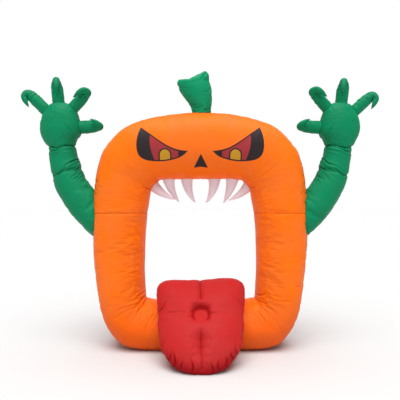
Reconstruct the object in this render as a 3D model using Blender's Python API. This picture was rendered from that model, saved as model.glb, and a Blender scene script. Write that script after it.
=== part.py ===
"""An inflatable jack-o'-lantern archway: a ring of orange cloth to walk through, filled with air.

The ring is a fat tube of four long strips of cloth: a front, a back, an outer and an inner one. It is cut in
an upper and a lower half, sewn together at a level seam across both legs. Sewn to it are a stem, two arms
with hands, six soft fangs along the top of the opening, and a tongue that leans from the lower beam down to
the ground. Metres, +Z up. The front faces -Y, the ring's middle plane is y = 0, and the ground is z = 0.
"""

import math

import bmesh
import bpy
import numpy as np
from mathutils import Vector

# ---------------------------------------------------------------- driving sizes
GAP = 0.0003  # between pieces that are sewn to each other
SEAM_HEIGHT = 1.322  # the level seam across both legs
SEAM_DRAW = 0.006  # how far a seam's thread draws the cloth in

# Half of the ring, from the middle of the top beam down the right leg to the middle of the lower beam. Each
# row is one cross-section: its point on the ring's outer edge, its point on the opening's edge, and half of
# the tube's thickness from front to back. The beam's outer edge is below the ground, which flattens it.
RING_ROWS = (
    # outer_x, outer_z, inner_x, inner_z, half_depth
    (0.000, 2.312, 0.000, 1.660, 0.285),
    (0.220, 2.305, 0.165, 1.660, 0.285),
    (0.430, 2.276, 0.310, 1.660, 0.283),
    (0.598, 2.230, 0.395, 1.649, 0.280),
    (0.743, 2.167, 0.430, 1.629, 0.277),
    (0.861, 2.065, 0.457, 1.604, 0.274),
    (0.950, 1.947, 0.482, 1.578, 0.271),
    (1.007, 1.800, 0.502, 1.551, 0.268),
    (1.040, 1.622, 0.515, 1.485, 0.266),
    (1.053, 1.455, 0.530, 1.400, 0.265),
    (1.056, SEAM_HEIGHT, 0.541, SEAM_HEIGHT, 0.265),
    (1.060, 1.145, 0.557, 1.165, 0.265),
    (1.056, 0.965, 0.566, 0.985, 0.265),
    (1.042, 0.785, 0.568, 0.825, 0.265),
    (1.022, 0.610, 0.566, 0.675, 0.266),
    (0.993, 0.435, 0.562, 0.560, 0.267),
    (0.947, 0.273, 0.556, 0.497, 0.268),
    (0.869, 0.133, 0.545, 0.470, 0.269),
    (0.747, 0.025, 0.514, 0.457, 0.270),
    (0.565, -0.022, 0.440, 0.449, 0.270),
    (0.320, -0.028, 0.290, 0.446, 0.270),
    (0.000, -0.028, 0.000, 0.445, 0.270),
)
OPENING_SHIFT = 0.006  # the opening sits a little to the right of the middle
SEAM_ROW = 10
RING_STEPS = 2  # cross-sections for each row
RING_SQUARENESS = 2.2  # exponent of the tube's outline: 2 is an ellipse, more is squarer

# The four strips around the tube. Angles are in degrees from the outward side, the front at 90.
STRIPS = (
    # first_seam, last_seam, parts, bulge
    (-22.0, 22.0, 3, 0.004),
    (22.0, 136.0, 8, 0.008),
    (136.0, 224.0, 5, 0.010),
    (224.0, 338.0, 8, 0.008),
)

# Gathers where the tube turns round the corners of the opening.
CORNER_GATHERS = (
    # row, spread_rows, depth
    (5.5, 2.2, 0.005),
    (16.3, 1.9, 0.011),
)

# The stem: each row runs from its left to its right edge, as seen from the front.
STEM_ROWS = (
    # left_x, left_z, right_x, right_z, half_depth
    (-0.072, 2.255, 0.102, 2.255, 0.085),
    (-0.082, 2.335, 0.109, 2.335, 0.090),
    (-0.092, 2.377, 0.115, 2.393, 0.094),
    (-0.128, 2.432, 0.120, 2.463, 0.100),
    (-0.170, 2.487, 0.119, 2.525, 0.106),
    (-0.207, 2.550, 0.110, 2.587, 0.108),
    (-0.228, 2.603, 0.092, 2.633, 0.104),
)
# Its bulging end, from the left lobe to the taller right one.
STEM_RIDGE = (
    # x, z
    (-0.230, 2.622),
    (-0.210, 2.651),
    (-0.112, 2.654),
    (-0.030, 2.697),
    (0.048, 2.736),
    (0.080, 2.722),
    (0.092, 2.655),
)
STEM_END = (
    # rise, share_of_depth
    (0.45, 0.93),
    (0.80, 0.66),
    (1.00, 0.26),
)

# An arm, from the wrist to inside the ring. The narrow fifth row is the fold at the elbow.
ARM_ROWS = (
    # x, z, radius
    (1.376, 1.980, 0.123),
    (1.376, 1.945, 0.130),
    (1.361, 1.855, 0.135),
    (1.337, 1.765, 0.144),
    (1.328, 1.727, 0.136),
    (1.316, 1.687, 0.146),
    (1.284, 1.604, 0.152),
    (1.234, 1.519, 0.157),
    (1.164, 1.422, 0.163),
    (1.085, 1.335, 0.165),
    (1.000, 1.252, 0.166),
    (0.900, 1.175, 0.160),
)
WRIST_HEIGHT = 1.980

# A palm, as level cross-sections from the wrist to its top.
PALM_ROWS = (
    # z, inner_x, outer_x, half_depth
    (1.980, 1.250, 1.506, 0.120),
    (2.005, 1.244, 1.530, 0.129),
    (2.050, 1.232, 1.556, 0.138),
    (2.115, 1.192, 1.584, 0.146),
    (2.185, 1.184, 1.590, 0.146),
    (2.265, 1.207, 1.580, 0.138),
    (2.335, 1.235, 1.548, 0.120),
    (2.385, 1.280, 1.510, 0.092),
    (2.413, 1.330, 1.462, 0.055),
)
PALM_TOP = (1.396, 2.423)

# Each finger starts inside the palm and ends in a hooked claw of the same cloth. y is towards the front.
FINGERS = {
    "finger_outer": (
        # x, y, z, radius
        (1.490, 0.000, 2.292, 0.052),
        (1.544, 0.000, 2.348, 0.057),
        (1.600, 0.000, 2.406, 0.058),
        (1.654, -0.004, 2.460, 0.057),
        (1.697, -0.014, 2.498, 0.049),
        (1.725, -0.028, 2.503, 0.037),
        (1.741, -0.042, 2.473, 0.029),
        (1.722, -0.052, 2.425, 0.022),
        (1.690, -0.056, 2.364, 0.002),
    ),
    "finger_middle": (
        (1.403, 0.000, 2.352, 0.052),
        (1.410, 0.000, 2.412, 0.059),
        (1.418, 0.000, 2.482, 0.060),
        (1.428, 0.000, 2.556, 0.059),
        (1.432, -0.010, 2.606, 0.050),
        (1.420, -0.052, 2.630, 0.036),
        (1.406, -0.094, 2.590, 0.027),
        (1.400, -0.106, 2.542, 0.018),
        (1.400, -0.098, 2.485, 0.002),
    ),
    "finger_inner": (
        (1.314, 0.000, 2.320, 0.052),
        (1.270, 0.000, 2.368, 0.057),
        (1.227, 0.000, 2.416, 0.058),
        (1.182, -0.002, 2.464, 0.057),
        (1.144, -0.016, 2.500, 0.050),
        (1.117, -0.046, 2.514, 0.039),
        (1.146, -0.080, 2.525, 0.032),
        (1.194, -0.096, 2.497, 0.023),
        (1.246, -0.096, 2.452, 0.002),
    ),
    "thumb": (
        (1.270, 0.000, 2.177, 0.058),
        (1.205, 0.000, 2.178, 0.063),
        (1.145, 0.000, 2.180, 0.064),
        (1.085, -0.002, 2.183, 0.062),
        (1.030, -0.014, 2.184, 0.053),
        (0.996, -0.046, 2.180, 0.039),
        (1.003, -0.080, 2.198, 0.030),
        (1.035, -0.094, 2.214, 0.020),
        (1.081, -0.092, 2.228, 0.002),
    ),
}
# The right hand's fingers stand a little differently from the left's: how far each droops.
DROOP_RIGHT = {"finger_outer": 0.020, "finger_middle": 0.012, "finger_inner": -0.008, "thumb": 0.0}

# The fangs, from the left. Each centreline bends from its root past a middle point to its tip. The two outer
# ones pass in front of their neighbours.
FANG_ROWS = (
    # root_x, root_z, middle_x, middle_z, tip_x, tip_z, width, tip_y
    (-0.457, 1.586, -0.372, 1.498, -0.234, 1.454, 0.114, -0.068),
    (-0.310, 1.652, -0.303, 1.557, -0.208, 1.427, 0.122, 0.020),
    (-0.132, 1.665, -0.129, 1.541, -0.047, 1.423, 0.127, 0.000),
    (0.142, 1.665, 0.148, 1.540, 0.059, 1.420, 0.129, 0.000),
    (0.322, 1.649, 0.305, 1.543, 0.236, 1.420, 0.127, 0.020),
    (0.480, 1.590, 0.408, 1.498, 0.282, 1.446, 0.111, -0.040),
)
FANG_ROOT_DEPTH = 0.07  # how far a fang starts inside the ring, before the ring cuts it
FANG_ROOT_GROWTH = 1.05  # its root's width as a share of its full width
FANG_FLATNESS = 0.85  # its thickness from front to back, as a share of its width
FANG_TAPER = 0.72  # exponent of how it narrows: 1 is a cone, less stays fat for longer

# The tongue is a pillow in a plane that leans back. Its middle is where a tie inside draws its front in.
TONGUE_TOP = (-0.130, 0.664)  # y, z of its top edge
TONGUE_TIP = (-0.778, 0.005)  # y, z of its lowest edge
TONGUE_SHIFT = 0.008  # it lies a little to the right
TONGUE_MIDDLE = 0.47  # share of the way from the top edge to the tip
TONGUE_HALF_WIDTH = 0.388
TONGUE_WIDER_TOP = 0.036
TONGUE_RIGHT_RISE = 0.022  # how much higher its top right corner stands
TONGUE_HALF_DEPTH = 0.158
TONGUE_TOP_SQUARENESS = 8.5
TONGUE_TIP_SQUARENESS = 2.3
DIMPLE_DEPTH = 0.105
DIMPLE_RADII = (0.052, 0.118)  # of its flat bottom, and of its rim
TONGUE_SWELL = (2.8, 0.62)  # exponents of its bulge: how flat its middle is, and how round its edge
TONGUE_SEAM_DEPTH = 0.018
TONGUE_SEAM_WIDTH = 0.022
TONGUE_GATHERS = 26  # small folds round its edge
TONGUE_GATHER_DEPTH = 0.006

# Corners round each kind of tube. The tongue's are a multiple of 4, so that its seam runs along corners.
STEM_SIDES = 20
ARM_SIDES = 18
PALM_SIDES = 20
FINGER_SIDES = 10
FANG_SIDES = 10
FANG_RINGS = 8
TONGUE_SPOKES = 52
TONGUE_FRONT_SHARES = (0.07, 0.13, 0.19, 0.25, 0.33, 0.46, 0.60, 0.72, 0.82, 0.90, 0.96, 0.99)
TONGUE_BACK_SHARES = (0.25, 0.50, 0.72, 0.86, 0.95, 0.99)

ORANGE = (0.94, 0.19, 0.016)
GREEN = (0.012, 0.27, 0.125)
RED = (0.62, 0.035, 0.035)
PINK = (0.72, 0.50, 0.54)
ROUGHNESS = 0.55


# ---------------------------------------------------------------- shared tools
def clear_scene():
    for leftover in list(bpy.data.objects):
        bpy.data.objects.remove(leftover, do_unlink=True)


def cloth(name, colour):
    material = bpy.data.materials.new(name)
    material.use_nodes = True
    shader = material.node_tree.nodes["Principled BSDF"]
    shader.inputs["Base Color"].default_value = (*colour, 1.0)
    shader.inputs["Roughness"].default_value = ROUGHNESS
    shader.inputs["Metallic"].default_value = 0.0
    return material


def between(rows, place, closed):
    """The row at a fractional place, on a smooth curve through all the rows."""
    rows = np.asarray(rows)
    count = len(rows)
    first = math.floor(place)
    share = place - first
    picked = []
    for offset in (-1, 0, 1, 2):
        index = first + offset
        picked.append(rows[index % count] if closed else rows[min(max(index, 0), count - 1)])
    before, start, end, after = picked
    slope_in = (end - before) / 2
    slope_out = (after - start) / 2
    s2 = share * share
    s3 = s2 * share
    return (
        start * (2 * s3 - 3 * s2 + 1)
        + slope_in * (s3 - 2 * s2 + share)
        + end * (3 * s2 - 2 * s3)
        + slope_out * (s3 - s2)
    )


def smoothed(rows, steps):
    """The rows and the places between them, on a smooth curve."""
    places = np.arange(0, (len(rows) - 1) * steps + 1) / steps
    return np.array([between(rows, place, closed=False) for place in places])


def bridge(mesh, rings, closed):
    """Rings of corners in a bmesh, with faces between each and the next."""
    made = [[mesh.verts.new(point) for point in ring] for ring in rings]
    pairs = list(zip(made, made[1:]))
    if closed:
        pairs.append((made[-1], made[0]))
    for lower, upper in pairs:
        for i in range(len(lower)):
            j = (i + 1) % len(lower)
            mesh.faces.new((lower[i], lower[j], upper[j], upper[i]))
    return made


def cap_at(mesh, ring, point):
    """Closes a ring with triangles that meet at a point."""
    centre = mesh.verts.new(point)
    for i in range(len(ring)):
        mesh.faces.new((ring[i], ring[(i + 1) % len(ring)], centre))


def finished(name, mesh, material):
    """An object of its own from a closed bmesh, with its faces outwards and smooth."""
    bmesh.ops.recalc_face_normals(mesh, faces=mesh.faces)
    for face in mesh.faces:
        face.smooth = True
    data = bpy.data.meshes.new(name)
    mesh.to_mesh(data)
    mesh.free()
    data.materials.append(material)
    piece = bpy.data.objects.new(name, data)
    bpy.context.scene.collection.objects.link(piece)
    return piece


def grown_cutter(name, source):
    """A copy of a piece, larger by the gap all round, that cuts what is sewn to that piece."""
    mesh = bmesh.new()
    mesh.from_mesh(source.data)
    mesh.normal_update()
    moved = [v.co + v.normal * GAP * v.calc_shell_factor() for v in mesh.verts]
    for vertex, place in zip(mesh.verts, moved):
        vertex.co = place
    cutter = finished(name, mesh, source.data.materials[0])
    cutter.hide_render = True
    cutter.display_type = "WIRE"
    return cutter


def cut_by(piece, cutter):
    cut = piece.modifiers.new("seat", "BOOLEAN")
    cut.operation = "DIFFERENCE"
    cut.solver = "EXACT"
    cut.object = cutter


def swept(path, sides):
    """Rings round a path of rows (x, y, z, width radius, front-to-back radius), turned with it."""
    points = path[:, :3]
    along = np.gradient(points, axis=0)
    along /= np.linalg.norm(along, axis=1)[:, None]
    side = Vector((0, 1, 0)).cross(Vector(along[0])).normalized()
    rings = []
    for point, tangent, row in zip(points, along, path):
        tangent = Vector(tangent)
        side = (side - tangent * side.dot(tangent)).normalized()
        front = tangent.cross(side)
        ring = []
        for k in range(sides):
            angle = 2 * math.pi * k / sides
            offset = side * (row[3] * math.cos(angle)) + front * (row[4] * math.sin(angle))
            ring.append(Vector(point) + offset)
        rings.append(ring)
    return rings


# ---------------------------------------------------------------- the ring
def strip_angles():
    """The angles of the corners round the tube, and how far each stands out from a plain tube."""
    corners = []
    for first, last, parts, bulge in STRIPS:
        for k in range(parts):
            share = k / parts
            angle = math.radians(first + (last - first) * share)
            corners.append((angle, bulge * math.sin(math.pi * share) - SEAM_DRAW * (k == 0)))
    return corners


def gathers(place, step, angle):
    """How far the small folds at the opening's corners move the cloth in or out."""
    inward = max(0.0, -math.cos(angle)) * math.sin(angle) ** 2 * 2
    half = len(RING_ROWS) - 1
    row = place if place <= half else 2 * half - place
    total = 0.0
    for middle, spread, depth in CORNER_GATHERS:
        total += depth * math.exp(-(((row - middle) / spread) ** 2))
    return total * inward * (1 if step % 2 else -1)


def ring_section(place, step):
    """One cross-section of the tube, as corners in space."""
    half = len(RING_ROWS) - 1
    right = np.array(RING_ROWS)
    left = right[half - 1 : 0 : -1] * np.array((-1, 1, -1, 1, 1))
    outer_x, outer_z, inner_x, inner_z, half_depth = between(np.vstack((right, left)), place, True)
    inner_x += OPENING_SHIFT
    outward = np.array((outer_x - inner_x, 0.0, outer_z - inner_z)) / 2
    half_width = np.linalg.norm(outward)
    outward /= half_width
    middle = np.array((outer_x + inner_x, 0.0, outer_z + inner_z)) / 2
    power = 2 / RING_SQUARENESS
    ring = []
    for angle, stands_out in strip_angles():
        grow = stands_out + gathers(place, step, angle)
        across = math.copysign(abs(math.cos(angle)) ** power, math.cos(angle))
        forward = math.copysign(abs(math.sin(angle)) ** power, math.sin(angle))
        point = middle + outward * across * (half_width + grow)
        point[1] = -forward * (half_depth + grow)
        ring.append(point)
    return ring


def drawn_in(ring, amount):
    """A cross-section made smaller by the same amount all round."""
    middle = np.mean(ring, axis=0)
    return [point - (point - middle) / np.linalg.norm(point - middle) * amount for point in ring]


def flattened(ring):
    return [np.array((point[0], point[1], max(point[2], 0.0))) for point in ring]


def ring_half(name, first_place, last_place, material):
    """The part of the ring between two places, with a flat end at each seam."""
    steps = (last_place - first_place) * RING_STEPS
    count = 2 * (len(RING_ROWS) - 1)
    rings = []
    for step in range(steps + 1):
        place = (first_place + step / RING_STEPS) % count
        rings.append(flattened(ring_section(place, step + first_place * RING_STEPS)))
    rings[0] = drawn_in(rings[0], SEAM_DRAW)
    rings[-1] = drawn_in(rings[-1], SEAM_DRAW)
    inwards = GAP / 2 * (1 if np.mean(rings[1], axis=0)[2] > SEAM_HEIGHT else -1)
    for end in (0, -1):
        rings[end] = [point + np.array((0.0, 0.0, inwards)) for point in rings[end]]
    mesh = bmesh.new()
    made = bridge(mesh, rings, closed=False)
    cap_at(mesh, made[0], np.mean(rings[0], axis=0))
    cap_at(mesh, made[-1], np.mean(rings[-1], axis=0))
    return finished(name, mesh, material)


def whole_ring(name, material):
    """The closed ring, which only shapes the cutter for what is sewn to it."""
    count = 2 * (len(RING_ROWS) - 1)
    rings = [flattened(ring_section(step / RING_STEPS, step)) for step in range(count * RING_STEPS)]
    mesh = bmesh.new()
    bridge(mesh, rings, closed=True)
    return finished(name, mesh, material)


# ---------------------------------------------------------------- what is sewn to the ring
def make_stem(material):
    rows = smoothed(STEM_ROWS, 2)
    rings = []
    for left_x, left_z, right_x, right_z, half_depth in rows:
        ring = []
        for k in range(STEM_SIDES):
            angle = 2 * math.pi * k / STEM_SIDES
            share = (1 + math.cos(angle)) / 2
            x = left_x + (right_x - left_x) * share
            z = left_z + (right_z - left_z) * share
            ring.append(np.array((x, half_depth * math.sin(angle), z)))
        rings.append(ring)
    ridge_x, ridge_z = zip(*STEM_RIDGE)
    rim = rings[-1]
    for rise, share_of_depth in STEM_END:
        ring = []
        for point in rim:
            top = np.interp(point[0], ridge_x, ridge_z)
            z = point[2] + (top - point[2]) * rise
            ring.append(np.array((point[0], point[1] * share_of_depth, z)))
        rings.append(ring)
    mesh = bmesh.new()
    made = bridge(mesh, rings, closed=False)
    cap_at(mesh, made[0], np.mean(rings[0], axis=0))
    # The end's last ring is closed with strips from its front half to its back half.
    end = made[-1]
    half = STEM_SIDES // 2
    for i in range(1, half - 1):
        mesh.faces.new((end[i], end[i + 1], end[STEM_SIDES - i - 1], end[STEM_SIDES - i]))
    mesh.faces.new((end[0], end[1], end[STEM_SIDES - 1]))
    mesh.faces.new((end[half - 1], end[half], end[half + 1]))
    return finished("stem", mesh, material)


def make_arm(name, side, material):
    rows = smoothed(ARM_ROWS, 2)
    path = np.array([(side * x, 0.0, z, radius, radius) for x, z, radius in rows])
    rings = swept(path, ARM_SIDES)
    level = WRIST_HEIGHT - GAP / 2
    rings[0] = [Vector((point.x, point.y, level)) for point in rings[0]]
    mesh = bmesh.new()
    made = bridge(mesh, rings, closed=False)
    cap_at(mesh, made[0], Vector((path[0][0], 0.0, level)))
    cap_at(mesh, made[-1], Vector(path[-1][:3]))
    return finished(name, mesh, material)


def make_palm(name, side, material):
    rings = []
    for z, inner_x, outer_x, half_depth in PALM_ROWS:
        middle = (inner_x + outer_x) / 2
        half_width = (outer_x - inner_x) / 2
        level = max(z, WRIST_HEIGHT + GAP / 2)
        ring = []
        for k in range(PALM_SIDES):
            angle = 2 * math.pi * k / PALM_SIDES
            x = side * (middle + half_width * math.cos(angle))
            ring.append(Vector((x, half_depth * math.sin(angle), level)))
        rings.append(ring)
    mesh = bmesh.new()
    made = bridge(mesh, rings, closed=False)
    wrist_x = side * (PALM_ROWS[0][1] + PALM_ROWS[0][2]) / 2
    cap_at(mesh, made[0], Vector((wrist_x, 0.0, WRIST_HEIGHT + GAP / 2)))
    cap_at(mesh, made[-1], Vector((side * PALM_TOP[0], 0.0, PALM_TOP[1])))
    return finished(name, mesh, material)


def make_finger(name, rows, side, droop, material):
    reach = len(rows) - 1
    path = []
    for index, (x, y, z, radius) in enumerate(rows):
        lowered = z - droop * math.sin(math.pi / 2 * min(1.0, 2 * index / reach))
        path.append((side * x, y, lowered, radius, radius))
    path = smoothed(path, 2)
    rings = swept(path[:-1], FINGER_SIDES)
    mesh = bmesh.new()
    made = bridge(mesh, rings, closed=False)
    cap_at(mesh, made[0], Vector(path[0][:3]))
    cap_at(mesh, made[-1], Vector(path[-1][:3]))
    return finished(name, mesh, material)


def make_fang(name, row, material):
    root_x, root_z, middle_x, middle_z, tip_x, tip_z, width, tip_y = row
    root = Vector((root_x, 0.0, root_z))
    middle = Vector((middle_x, tip_y / 2, middle_z))
    tip = Vector((tip_x, tip_y, tip_z))
    upwards = (root - middle).normalized()
    start = root + upwards * FANG_ROOT_DEPTH
    root_radius = width / 2 * FANG_ROOT_GROWTH
    path = [(*start, root_radius, root_radius * FANG_FLATNESS)]
    for k in range(FANG_RINGS):
        share = k / FANG_RINGS
        point = root * (1 - share) ** 2 + middle * 2 * share * (1 - share) + tip * share**2
        radius = width / 2 * (1 - share) ** FANG_TAPER
        path.append((*point, radius, radius * FANG_FLATNESS))
    rings = swept(np.array(path), FANG_SIDES)
    mesh = bmesh.new()
    made = bridge(mesh, rings, closed=False)
    cap_at(mesh, made[0], start)
    cap_at(mesh, made[-1], tip)
    return finished(name, mesh, material)


# ---------------------------------------------------------------- the tongue
def smooth_step(value, low, high):
    share = min(max((value - low) / (high - low), 0.0), 1.0)
    return share * share * (3 - 2 * share)


def tongue_edge(angle, up_reach, down_reach):
    """The flat outline's point at an angle round the tongue's middle: across, and up the tongue."""
    across = math.cos(angle)
    up = math.sin(angle)
    upper = smooth_step(up, -0.2, 0.2)
    power = TONGUE_TIP_SQUARENESS + (TONGUE_TOP_SQUARENESS - TONGUE_TIP_SQUARENESS) * upper
    reach = up_reach + TONGUE_RIGHT_RISE * smooth_step(across, 0.0, 0.6) if up > 0 else down_reach
    half_width = TONGUE_HALF_WIDTH + TONGUE_WIDER_TOP * smooth_step(up, 0.0, 0.7)
    size = (abs(across) / half_width) ** power + (abs(up) / reach) ** power
    radius = size ** (-1 / power)
    return across * radius, up * radius


def tongue_swell(share, across, up, angle, front):
    """How far the cloth stands from the tongue's plane at a share of the way out to its edge."""
    flatness, roundness = TONGUE_SWELL
    swell = TONGUE_HALF_DEPTH * (1 - share**flatness) ** roundness
    near_edge = smooth_step(share, 0.70, 0.90) * (1 - smooth_step(share, 0.95, 1.0))
    lower_half = smooth_step(-math.sin(angle), 0.0, 0.6)
    gather = TONGUE_GATHER_DEPTH * near_edge * lower_half * math.cos(TONGUE_GATHERS * angle)
    if not front:
        return swell + gather
    beyond_dimple = smooth_step(math.hypot(across, up), *DIMPLE_RADII)
    dimple = DIMPLE_DEPTH * (1 - beyond_dimple)
    groove = TONGUE_SEAM_DEPTH * math.exp(-((across / TONGUE_SEAM_WIDTH) ** 2)) * beyond_dimple
    return swell + gather - dimple - groove * (1 - share**4)


def make_tongue(material):
    top = np.array((0.0, *TONGUE_TOP))
    tip = np.array((0.0, *TONGUE_TIP))
    length = np.linalg.norm(tip - top)
    upwards = (top - tip) / length
    frontwards = np.array((0.0, -upwards[2], upwards[1]))
    middle = top + (tip - top) * TONGUE_MIDDLE
    up_reach = length * TONGUE_MIDDLE
    down_reach = length - up_reach


    def corner(share, spoke, front):
        angle = 2 * math.pi * spoke / TONGUE_SPOKES
        edge_across, edge_up = tongue_edge(angle, up_reach, down_reach)
        across = edge_across * share
        up = edge_up * share
        out = tongue_swell(share, across, up, angle, front)
        place = middle + upwards * up + frontwards * (out if front else -out)
        return np.array((across + TONGUE_SHIFT, place[1], max(place[2], 0.0)))

    spokes = range(TONGUE_SPOKES)
    rings = [[corner(share, k, True) for k in spokes] for share in (*TONGUE_FRONT_SHARES, 1.0)]
    for share in reversed(TONGUE_BACK_SHARES):
        rings.append([corner(share, k, False) for k in spokes])
    mesh = bmesh.new()
    made = bridge(mesh, rings, closed=False)
    cap_at(mesh, made[0], corner(0.0, 0, True))
    cap_at(mesh, made[-1], corner(0.0, 0, False))
    return finished("tongue", mesh, material)


# ---------------------------------------------------------------- the whole thing
def main():
    clear_scene()
    orange = cloth("orange_cloth", ORANGE)
    green = cloth("green_cloth", GREEN)
    red = cloth("red_cloth", RED)
    pink = cloth("pink_cloth", PINK)

    count = 2 * (len(RING_ROWS) - 1)
    ring_half("arch_lower", SEAM_ROW, count - SEAM_ROW, orange)
    ring_half("arch_upper", count - SEAM_ROW, count + SEAM_ROW, orange)
    ring = whole_ring("ring_shape", orange)
    ring.hide_render = True
    ring.display_type = "WIRE"
    ring_cutter = grown_cutter("ring_cutter", ring)

    cut_by(make_stem(green), ring_cutter)
    cut_by(make_tongue(red), ring_cutter)
    for number, row in enumerate(FANG_ROWS, start=1):
        cut_by(make_fang(f"fang_{number}", row, pink), ring_cutter)

    for name, side in (("left", -1), ("right", 1)):
        cut_by(make_arm(f"arm_{name}", side, green), ring_cutter)
        palm = make_palm(f"palm_{name}", side, green)
        palm_cutter = grown_cutter(f"palm_cutter_{name}", palm)
        for finger, rows in FINGERS.items():
            droop = DROOP_RIGHT[finger] if side > 0 else 0.0
            cut_by(make_finger(f"{finger}_{name}", rows, side, droop, green), palm_cutter)


main()
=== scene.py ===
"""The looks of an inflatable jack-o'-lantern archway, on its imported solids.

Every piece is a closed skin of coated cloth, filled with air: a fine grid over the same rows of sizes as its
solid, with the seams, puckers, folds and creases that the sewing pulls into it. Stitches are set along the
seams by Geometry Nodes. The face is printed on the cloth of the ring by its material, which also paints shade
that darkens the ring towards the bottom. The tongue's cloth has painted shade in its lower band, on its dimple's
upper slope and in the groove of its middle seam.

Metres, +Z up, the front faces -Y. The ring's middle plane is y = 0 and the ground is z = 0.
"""

import math

import bmesh
import bpy
import numpy as np
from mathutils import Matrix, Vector
from mathutils.bvhtree import BVHTree


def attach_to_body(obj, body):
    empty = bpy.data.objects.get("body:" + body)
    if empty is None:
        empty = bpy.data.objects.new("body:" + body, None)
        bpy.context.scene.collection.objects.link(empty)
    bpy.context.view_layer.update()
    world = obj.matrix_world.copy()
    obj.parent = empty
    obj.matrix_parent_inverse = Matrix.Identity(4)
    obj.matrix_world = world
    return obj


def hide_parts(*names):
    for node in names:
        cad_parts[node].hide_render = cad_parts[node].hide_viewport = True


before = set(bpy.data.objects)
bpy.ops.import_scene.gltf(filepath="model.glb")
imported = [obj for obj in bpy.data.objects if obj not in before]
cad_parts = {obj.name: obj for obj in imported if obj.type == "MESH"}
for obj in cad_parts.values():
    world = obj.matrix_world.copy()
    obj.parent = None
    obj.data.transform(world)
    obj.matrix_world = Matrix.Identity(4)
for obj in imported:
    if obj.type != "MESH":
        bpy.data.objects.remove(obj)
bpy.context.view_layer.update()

# ---------------------------------------------------------------- sizes shared with the solids
GAP = 0.0003  # between pieces that are sewn to each other
SEAM_HEIGHT = 1.322  # the level seam across both legs

RING_ROWS = (
    # outer_x, outer_z, inner_x, inner_z, half_depth
    (0.000, 2.312, 0.000, 1.660, 0.285),
    (0.220, 2.305, 0.165, 1.660, 0.285),
    (0.430, 2.276, 0.310, 1.660, 0.283),
    (0.598, 2.230, 0.395, 1.649, 0.280),
    (0.743, 2.167, 0.430, 1.629, 0.277),
    (0.861, 2.065, 0.457, 1.604, 0.274),
    (0.950, 1.947, 0.482, 1.578, 0.271),
    (1.007, 1.800, 0.502, 1.551, 0.268),
    (1.040, 1.622, 0.515, 1.485, 0.266),
    (1.053, 1.455, 0.530, 1.400, 0.265),
    (1.056, SEAM_HEIGHT, 0.541, SEAM_HEIGHT, 0.265),
    (1.060, 1.145, 0.557, 1.165, 0.265),
    (1.056, 0.965, 0.566, 0.985, 0.265),
    (1.042, 0.785, 0.568, 0.825, 0.265),
    (1.022, 0.610, 0.566, 0.675, 0.266),
    (0.993, 0.435, 0.562, 0.560, 0.267),
    (0.947, 0.273, 0.556, 0.497, 0.268),
    (0.869, 0.133, 0.545, 0.470, 0.269),
    (0.747, 0.025, 0.514, 0.457, 0.270),
    (0.565, -0.022, 0.440, 0.449, 0.270),
    (0.320, -0.028, 0.290, 0.446, 0.270),
    (0.000, -0.028, 0.000, 0.445, 0.270),
)
OPENING_SHIFT = 0.006
SEAM_ROW = 10
RING_SQUARENESS = 2.2
RING_SEAMS = (22.0, 136.0, 224.0, 338.0)  # degrees from the outward side, the front at 90

STEM_ROWS = (
    # left_x, left_z, right_x, right_z, half_depth
    (-0.072, 2.255, 0.102, 2.255, 0.085),
    (-0.082, 2.335, 0.109, 2.335, 0.090),
    (-0.092, 2.377, 0.115, 2.393, 0.094),
    (-0.128, 2.432, 0.120, 2.463, 0.100),
    (-0.170, 2.487, 0.119, 2.525, 0.106),
    (-0.207, 2.550, 0.110, 2.587, 0.108),
    (-0.228, 2.603, 0.092, 2.633, 0.104),
)
STEM_RIDGE = (
    # x, z
    (-0.230, 2.622),
    (-0.210, 2.651),
    (-0.112, 2.654),
    (-0.030, 2.697),
    (0.048, 2.736),
    (0.080, 2.722),
    (0.092, 2.655),
)

ARM_ROWS = (
    # x, z, radius
    (1.376, 1.980, 0.123),
    (1.376, 1.945, 0.130),
    (1.361, 1.855, 0.135),
    (1.337, 1.765, 0.144),
    (1.328, 1.727, 0.136),
    (1.316, 1.687, 0.146),
    (1.284, 1.604, 0.152),
    (1.234, 1.519, 0.157),
    (1.164, 1.422, 0.163),
    (1.085, 1.335, 0.165),
    (1.000, 1.252, 0.166),
    (0.900, 1.175, 0.160),
)
WRIST_HEIGHT = 1.980

PALM_ROWS = (
    # z, inner_x, outer_x, half_depth
    (1.980, 1.250, 1.506, 0.120),
    (2.005, 1.244, 1.530, 0.129),
    (2.050, 1.232, 1.556, 0.138),
    (2.115, 1.192, 1.584, 0.146),
    (2.185, 1.184, 1.590, 0.146),
    (2.265, 1.207, 1.580, 0.138),
    (2.335, 1.235, 1.548, 0.120),
    (2.385, 1.280, 1.510, 0.092),
    (2.413, 1.330, 1.462, 0.055),
    (2.423, 1.396, 1.396, 0.000),
)

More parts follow.
